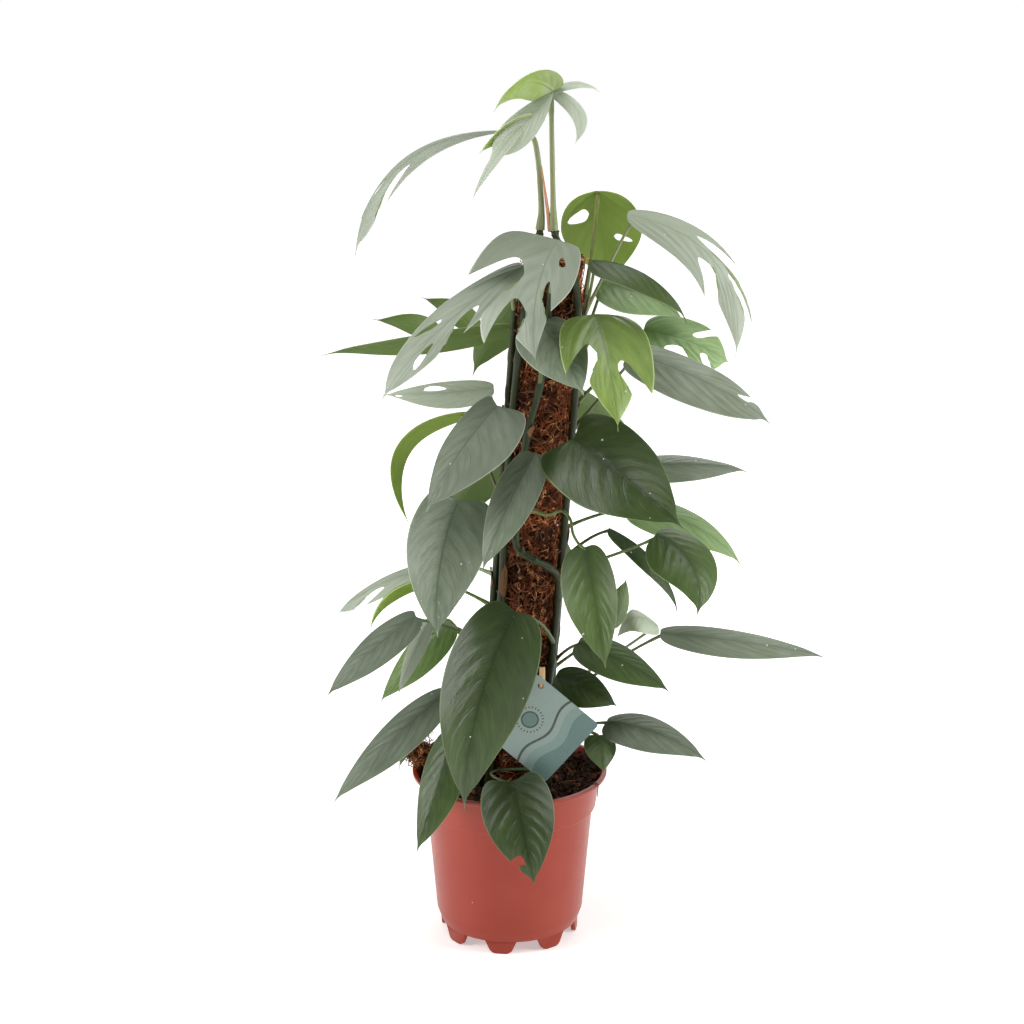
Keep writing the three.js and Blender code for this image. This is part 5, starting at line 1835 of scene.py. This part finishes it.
LEAVES = (
    Leaf(
        "leaf_crown_split", "vine_front_right", 622, Tone.PALE, stalk=2.4, light=1.36,
        blade=Blade(
            base=(35, 0, 733), tip=(-16, -45, 684), face=(0.3, -0.7, 0.65), width=27, arch=7, bow=-3,
            shape=Shape.LATE,
        ),
        lobes=(
            Blade(tip=(-14, -36, 720), face=(0.1, 0.8, 0.6), width=34, arch=5, bow=-16),
            Blade(tip=(52, -36, 694), face=(0.3, -0.8, 0.5), width=16, arch=2, bow=-13),
            Blade(tip=(74, 14, 731), face=(0, -0.6, 0.8), width=10),
            Blade(
                start=0.55, tip=(-31, -76, 652), face=(-0.3, -0.7, 0.6), width=10, arch=6,
                shape=Shape.LANCE,
            ),
            Blade(
                start=0.4, tip=(-25, -44, 687), face=(0.2, 0.8, 0.4), width=13, arch=4,
                shape=Shape.LANCE,
            ),
        ),
    ),
    Leaf(
        "leaf_crown_left", "vine_front_left", 622, Tone.PALE, stalk=2.5, light=0.92,
        bends=((26, -10, 636), (25, -8, 656), (23, -8, 680), (19, -6, 696), (12, -5, 701)),
        blade=Blade(
            base=(4, -4, 701), tip=(-128, -24, 606), face=(-0.35, -0.45, 0.8), width=27, arch=38,
            sweep=0.32, shape=Shape.LATE, cuts=(Cut(-1, 0.5, 0.12), Cut(1, 0.62, 0.08)),
        ),
    ),
    Leaf(
        "leaf_crown_round", "vine_right", 556, Tone.BRIGHT, via=(4, 0, 10), stalk=1.9, light=1.4,
        blade=Blade(
            base=(73, 32, 649), tip=(86, 75, 563), face=(0.05, 0.85, 0.5), width=72, arch=6, back=0.05,
            cuts=(Cut(-1, 0.24, 0.13, hole=True), Cut(1, 0.5, 0.07, hole=True)),
        ),
    ),
    Leaf(
        "leaf_crown_right", "vine_right", 545, Tone.PALE, via=(6, 0, 14), light=1.15,
        blade=Blade(
            base=(97, 10, 632), tip=(186, -36, 522), face=(0.2, -0.72, 0.66), width=43, bow=-34,
            skew=0.05, sweep=0.4, tail=0.3, shape=Shape.LANCE,
            cuts=(Cut(1, 0.4, 0.13), Cut(-1, 0.32, 0.12), Cut(-1, 0.54, 0.07)),
        ),
    ),
    Leaf(
        "leaf_front_fingered", "vine_crossing", 572, Tone.SILVER, via=(2, -12, 10), light=1.08,
        blade=Blade(
            base=(39, -45, 619), tip=(21, -107, 529), face=(-0.1, -0.8, 0.6), width=94, bow=8,
            skew=0.42, sweep=0.45, tail=0.4, shape=Shape.LOBED,
            cuts=(
                Cut(1, 0.22, 0.12), Cut(1, 0.5, 0.16), Cut(-1, 0.36, 0.15, hug=0.55),
                Cut(-1, 0.14, 0.06, hole=True, inner=0.34, outer=0.56),
            ),
        ),
    ),
    Leaf(
        "leaf_left_fingered", "vine_left", 553, Tone.SILVER, via=(-6, -6, 20), light=1.12,
        blade=Blade(
            base=(12, -22, 594), tip=(-104, -82, 498), face=(-0.35, -0.65, 0.67), width=43, arch=12,
            skew=0.24, sweep=0.3, shape=Shape.SPLIT,
            cuts=(Cut(-1, 0.34, 0.12), Cut(-1, 0.64, 0.14, hole=True), Cut(1, 0.48, 0.08, hole=True)),
        ),
    ),
    Leaf(
        "leaf_left_shadow", "vine_back", 492, Tone.FRESH, via=(-4, 8, 10), light=0.72,
        blade=Blade(
            base=(4, 38, 534), tip=(-163, 80, 504), face=(-0.1, 0.85, 0.5), width=26, arch=-4,
            shape=Shape.LANCE,
        ),
        lobes=(
            Blade(
                start=0.2, tip=(-76, 70, 552), face=(-0.1, 0.8, -0.5), width=24, bow=-9,
                shape=Shape.LANCE,
            ),
            Blade(
                start=0.38, tip=(-118, 78, 531), face=(-0.1, 0.8, -0.5), width=22, bow=-9,
                shape=Shape.LANCE,
            ),
        ),
    ),
    Leaf(
        "leaf_left_level", "vine_left", 455, Tone.SILVER, via=(-8, -6, 8), light=1.7,
        blade=Blade(
            base=(-13, -16, 492), tip=(-105, -30, 490), face=(0, -0.75, 0.66), width=28, arch=-4,
            shape=Shape.LANCE,
            cuts=(
                Cut(1, 0.5, 0.2, hole=True, inner=0.2, outer=0.8),
                Cut(-1, 0.84, 0.07, hole=True, inner=0.25, outer=0.75),
            ),
        ),
    ),
    Leaf(
        "leaf_behind_front", "vine_crossing", 496, Tone.GREY, via=(2, -8, 14), light=1.95,
        blade=Blade(
            base=(25, -40, 551), tip=(60, -80, 500), face=(0.2, -0.8, 0.5), width=58, arch=6,
            shape=Shape.HEART,
        ),
    ),
    Leaf(
        "leaf_bright_lobed", "vine_front_right", 508, Tone.BRIGHT, via=(8, -10, 18), light=1.36,
        blade=Blade(
            base=(70, -50, 560), tip=(86, -120, 480), face=(0.15, -0.8, 0.58), width=80, skew=-0.1,
            sweep=0.48, tail=0.35, shape=Shape.LOBED, cuts=(Cut(1, 0.28, 0.13), Cut(-1, 0.4, 0.1)),
        ),
    ),
    Leaf(
        "leaf_right_folded", "vine_right", 530, Tone.FRESH, via=(4, -8, 16), light=0.6,
        blade=Blade(
            base=(66, -38, 602), tip=(144, -60, 556), face=(0.45, -0.2, 0.87), width=38, arch=14,
            fold=40,
        ),
    ),
    Leaf(
        "leaf_right_pale", "vine_right", 516, Tone.LIGHT, via=(6, 2, 14), light=1.38,
        blade=Blade(base=(75, 20, 573), tip=(145, 2, 547), face=(0.2, -0.6, 0.75), width=44),
    ),
    Leaf(
        "leaf_right_slit", "vine_right", 470, Tone.LIGHT, via=(10, 0, 12), light=1.75,
        blade=Blade(
            base=(112, 16, 535), tip=(184, 4, 510), face=(0.1, -0.75, 0.65), width=56, sweep=0.3,
            shape=Shape.SPLIT, cuts=(Cut(1, 0.32, 0.16), Cut(1, 0.66, 0.08), Cut(-1, 0.5, 0.08)),
        ),
    ),
    Leaf(
        "leaf_right_long", "vine_right", 448, Tone.ASH, via=(10, -6, 14), light=1.22,
        blade=Blade(
            base=(100, -24, 523), tip=(215, -45, 470), face=(0.25, -0.65, 0.7), width=50,
            shape=Shape.SPLIT, cuts=(Cut(-1, 0.74, 0.08),),
        ),
    ),
    Leaf(
        "leaf_big_heart", "vine_front_right", 420, Tone.DARK, via=(4, -14, 12), light=0.9,
        blade=Blade(
            base=(52, -62, 460), tip=(137, -130, 404), face=(0.05, -0.85, 0.5), width=84, back=0.2,
            shape=Shape.HEART,
        ),
    ),
    Leaf(
        "leaf_right_grey", "vine_right", 392, Tone.ASH, via=(10, 4, 12), light=1.12,
        blade=Blade(
            base=(96, 30, 412), tip=(210, 60, 403), face=(0, -0.5, 0.86), width=37, arch=6,
            shape=Shape.LANCE,
        ),
    ),
    Leaf(
        "leaf_right_light", "vine_right", 362, Tone.LIGHT, via=(8, -2, 10), light=1.56,
        blade=Blade(
            base=(98, 0, 384), tip=(198, -20, 340), face=(0.2, -0.6, 0.77), width=42, bow=-9,
            shape=Shape.LANCE,
        ),
    ),
    Leaf(
        "leaf_pair_dark", "vine_right", 330, Tone.DARK, via=(6, -4, 16),
        blade=Blade(
            base=(84, -12, 371), tip=(144, -36, 301), face=(0.5, 0.2, 0.8), width=36, arch=12, fold=40,
            shape=Shape.LANCE,
        ),
    ),
    Leaf(
        "leaf_pair_round", "vine_front_right", 330, Tone.FRESH, via=(10, -10, 2), light=0.82,
        blade=Blade(
            base=(121, -48, 375), tip=(153, -100, 322), face=(0.3, -0.75, 0.6), width=60, bow=-12,
        ),
    ),
    Leaf(
        "leaf_centre_green", "vine_crossing", 396, Tone.FRESH, light=0.78,
        bends=(
            (19, -45, 395), (32, -50, 392), (43, -55, 397), (50, -61, 391), (52, -67, 381),
            (57, -72, 373),
        ),
        blade=Blade(
            base=(62, -75, 372), tip=(78, -120, 282), face=(0, -0.87, 0.5), width=47, arch=6, skew=0.12,
        ),
    ),
    Leaf(
        "leaf_centre_grey", "vine_crossing", 408, Tone.GREY, via=(0, -8, 8), light=1.38,
        blade=Blade(
            base=(20, -53, 445), tip=(-23, -103, 359), face=(-0.25, -0.85, 0.45), width=40, arch=6,
        ),
    ),
    Leaf(
        "leaf_left_silver", "vine_front_left", 452, Tone.ASH, via=(0, -8, 12), light=0.97,
        blade=Blade(
            base=(-10, -56, 486), tip=(-68, -100, 409), face=(-0.35, -0.75, 0.55), width=60, arch=7,
            skew=-0.15, shape=Shape.HEART,
        ),
    ),
    Leaf(
        "leaf_left_sickle", "vine_left", 425, Tone.BRIGHT, via=(-10, 0, 20), light=1.35,
        blade=Blade(
            base=(-34, -20, 472), tip=(-84, -20, 372), face=(-0.6, 0.6, 0.5), width=26, arch=36,
            bow=-14, shape=Shape.LANCE,
        ),
    ),
    Leaf(
        "leaf_left_narrow", "vine_left", 395, Tone.GREY, via=(-6, 2, 10), light=1.2,
        blade=Blade(
            base=(-18, 2, 430), tip=(-76, 16, 377), face=(-0.3, -0.5, 0.8), width=22, arch=6,
            shape=Shape.LANCE,
        ),
    ),
    Leaf(
        "leaf_left_big", "vine_front_left", 368, Tone.GREY, via=(-8, -12, 10), light=1.5,
        blade=Blade(
            base=(-42, -60, 407), tip=(-59, -100, 302), face=(-0.15, -0.9, 0.4), width=72, bow=5,
            shape=Shape.HEART,
        ),
    ),
    Leaf(
        "leaf_left_forked", "vine_left", 328, Tone.SILVER, via=(-10, 6, 8), light=1.3,
        blade=Blade(
            base=(-55, 20, 330), tip=(-155, 55, 274), face=(-0.3, -0.4, 0.85), width=30, sweep=0.3,
            shape=Shape.SPLIT, cuts=(Cut(-1, 0.5, 0.12),),
        ),
    ),
    Leaf(
        "leaf_left_bright", "vine_left", 300, Tone.BRIGHT, via=(-8, 0, 12), light=1.75,
        blade=Blade(base=(-70, 0, 321), tip=(-120, -20, 281), face=(-0.5, 0.5, 0.7), width=30, arch=14),
    ),
    Leaf(
        "leaf_left_low", "vine_front_left", 268, Tone.GREY, via=(-8, -4, 10), light=1.2,
        blade=Blade(
            base=(-78, -54, 306), tip=(-154, -74, 242), face=(-0.3, -0.75, 0.6), width=34, arch=6,
        ),
    ),
    Leaf(
        "leaf_left_hanging", "vine_left", 262, Tone.SILVER, via=(-6, -6, 16), light=1.15,
        blade=Blade(
            base=(-67, -34, 297), tip=(-95, -46, 232), face=(-0.2, -0.8, 0.5), width=16, arch=4,
            shape=Shape.LANCE,
        ),
    ),
    Leaf(
        "leaf_left_curled", "vine_left", 236, Tone.FRESH, via=(-4, 2, 14), light=1.25,
        blade=Blade(
            base=(-48, -12, 287), tip=(-113, -22, 217), face=(-0.2, -0.8, 0.6), width=34, arch=6,
            shape=Shape.LANCE,
        ),
    ),
    Leaf(
        "leaf_front_large", "vine_crossing", 268, Tone.GREEN, via=(4, -26, 26), light=0.92,
        blade=Blade(base=(5, -70, 315), tip=(-38, -112, 156), face=(-0.1, -0.93, 0.3), width=79, bow=9),
    ),
    Leaf(
        "leaf_left_long", "vine_left", 196, Tone.GREY, via=(-6, -6, 14), light=1.38,
        blade=Blade(
            base=(-52, -32, 232), tip=(-153, -60, 140), face=(-0.3, -0.75, 0.6), width=38, arch=7,
            shape=Shape.LANCE,
        ),
    ),
    Leaf(
        "leaf_rim_left", "vine_front_left", 172, Tone.GREEN, via=(-6, -12, 14), light=1.06,
        blade=Blade(
            base=(-48, -58, 204), tip=(-79, -101, 113), face=(-0.3, -0.9, 0.3), width=40, arch=6,
            bow=-4,
        ),
    ),
    Leaf(
        "leaf_rim_front", "vine_crossing", 152, Tone.DARK, via=(-60, -10, 14), light=0.74,
        blade=Blade(
            base=(2, -88, 172), tip=(21, -121, 93), face=(0.05, -0.95, 0.3), width=64, arch=6,
            shape=Shape.HEART, cuts=(Cut(1, 0.74, 0.1),),
        ),
    ),
    Leaf(
        "leaf_rim_back_left", "vine_left", 160, Tone.DARK, via=(-8, 10, 18),
        blade=Blade(base=(-72, 36, 186), tip=(-101, 48, 128), face=(-0.6, -0.3, 0.6), width=26, arch=5),
    ),
    Leaf(
        "leaf_low_dark", "vine_crossing", 222, Tone.DARK, via=(4, -4, 8), light=0.85,
        blade=Blade(base=(39, -36, 246), tip=(92, -48, 224), face=(0.15, -0.75, 0.6), width=38, arch=6),
    ),
    Leaf(
        "leaf_low_right", "vine_crossing", 184, Tone.GREY, via=(10, 0, 8), light=1.32,
        blade=Blade(base=(82, -40, 207), tip=(166, -80, 188), face=(0.1, -0.6, 0.8), width=40, arch=11),
    ),
    Leaf(
        "leaf_low_small", "vine_crossing", 160, Tone.GREEN, via=(12, -6, 30), light=1.1,
        blade=Blade(
            base=(76, -50, 199), tip=(79, -76, 175), face=(0.1, -0.7, 0.7), width=29, arch=3,
            shape=Shape.HEART,
        ),
    ),
    Leaf(
        "leaf_mid_right", "vine_front_right", 246, Tone.GREEN, via=(2, -6, 10), light=1.32,
        blade=Blade(base=(58, -30, 275), tip=(135, -66, 244), face=(0.2, -0.7, 0.7), width=39, arch=6),
    ),
    Leaf(
        "leaf_small_upright", "vine_right", 232, Tone.FRESH, via=(8, 4, 4),
        blade=Blade(base=(88, 16, 273), tip=(102, 30, 313), face=(0.5, -0.7, 0.3), width=26, arch=3),
    ),
    Leaf(
        "leaf_small_pale", "vine_right", 208, Tone.PALE, via=(20, 10, 6), light=1.6,
        blade=Blade(base=(132, 52, 262), tip=(94, 50, 250), face=(0, -0.5, 0.86), width=30, arch=22),
    ),
    Leaf(
        "leaf_far_right", "vine_right", 190, Tone.ASH, via=(8, -8, 22), light=1.2,
        blade=Blade(
            base=(129, -10, 277), tip=(274, -20, 259), face=(0.15, -0.6, 0.78), width=32, arch=3,
            shape=Shape.LANCE,
        ),
    ),
    Leaf(
        "leaf_back_upper", "vine_back", 535, Tone.GREEN, via=(0, 12, 10),
        blade=Blade(
            base=(24, 62, 568), tip=(-34, 112, 478), face=(-0.3, 0.8, 0.5), width=62, shape=Shape.HEART,
        ),
    ),
    Leaf(
        "leaf_back_right", "vine_back", 440, Tone.GREEN, via=(6, 12, 12),
        blade=Blade(
            base=(52, 66, 474), tip=(112, 112, 392), face=(0.4, 0.75, 0.5), width=60, shape=Shape.HEART,
        ),
    ),
    Leaf(
        "leaf_back_left", "vine_back", 388, Tone.DARK, via=(-4, 12, 10), light=1.3,
        blade=Blade(
            base=(-12, 64, 415), tip=(-62, 110, 328), face=(-0.4, 0.75, 0.5), width=58,
            shape=Shape.HEART,
        ),
    ),
    Leaf(
        "leaf_back_middle", "vine_back", 310, Tone.GREEN, via=(0, 14, 12),
        blade=Blade(base=(26, 74, 345), tip=(34, 122, 246), face=(0, 0.85, 0.5), width=60),
    ),
    Leaf(
        "leaf_back_low", "vine_back", 205, Tone.DARK, via=(-4, 12, 12),
        blade=Blade(base=(-20, 70, 236), tip=(-46, 118, 158), face=(-0.3, 0.8, 0.5), width=50, arch=7),
    ),
)


def vine_materials() -> list[Material]:
    """Builds the materials of a stem, of its dry leaf bases and of its air roots."""
    finishes = (
        # Partly painted shade: the stem's colours are darker than its own green, for the shade it stands
        # in among the leaves
        StemFinish("vine_stem", 0x2F3F1D, 0x161F0D, 0x33200F, edge_share=0.4),
        StemFinish("dry_leaf_base", 0x5E4028, 0x87643F, 0x452B18, edge_share=0.3, roughness=0.7),
        StemFinish("air_root", 0x4A3020, 0x6E4A30, 0x33201A, edge_share=0.4, roughness=0.7),
    )
    return [finish.build() for finish in finishes]


def main() -> None:
    """Builds the part in order."""
    logging.basicConfig(level=logging.INFO, format="%(name)s: %(message)s")
    random.seed(11)
    Studio().build()
    stem, papery, air_root = vine_materials()
    vines = {vine.name: vine for vine in VINES}
    for vine in VINES:
        vine.build([stem, papery, air_root])
    finishes = {tone: tone.value.build() for tone in Tone}
    for leaf in LEAVES:
        leaf.build(vines, finishes)
    DriedSheath().build()
    POLE.build()
    PottingMix().build()
    NurseryPot().build()
    RimRoots().build(air_root)
    PlantTag().build()
    log.info("%d leaves, %d vines", len(LEAVES), len(VINES))


if __name__ == "__main__":
    main()
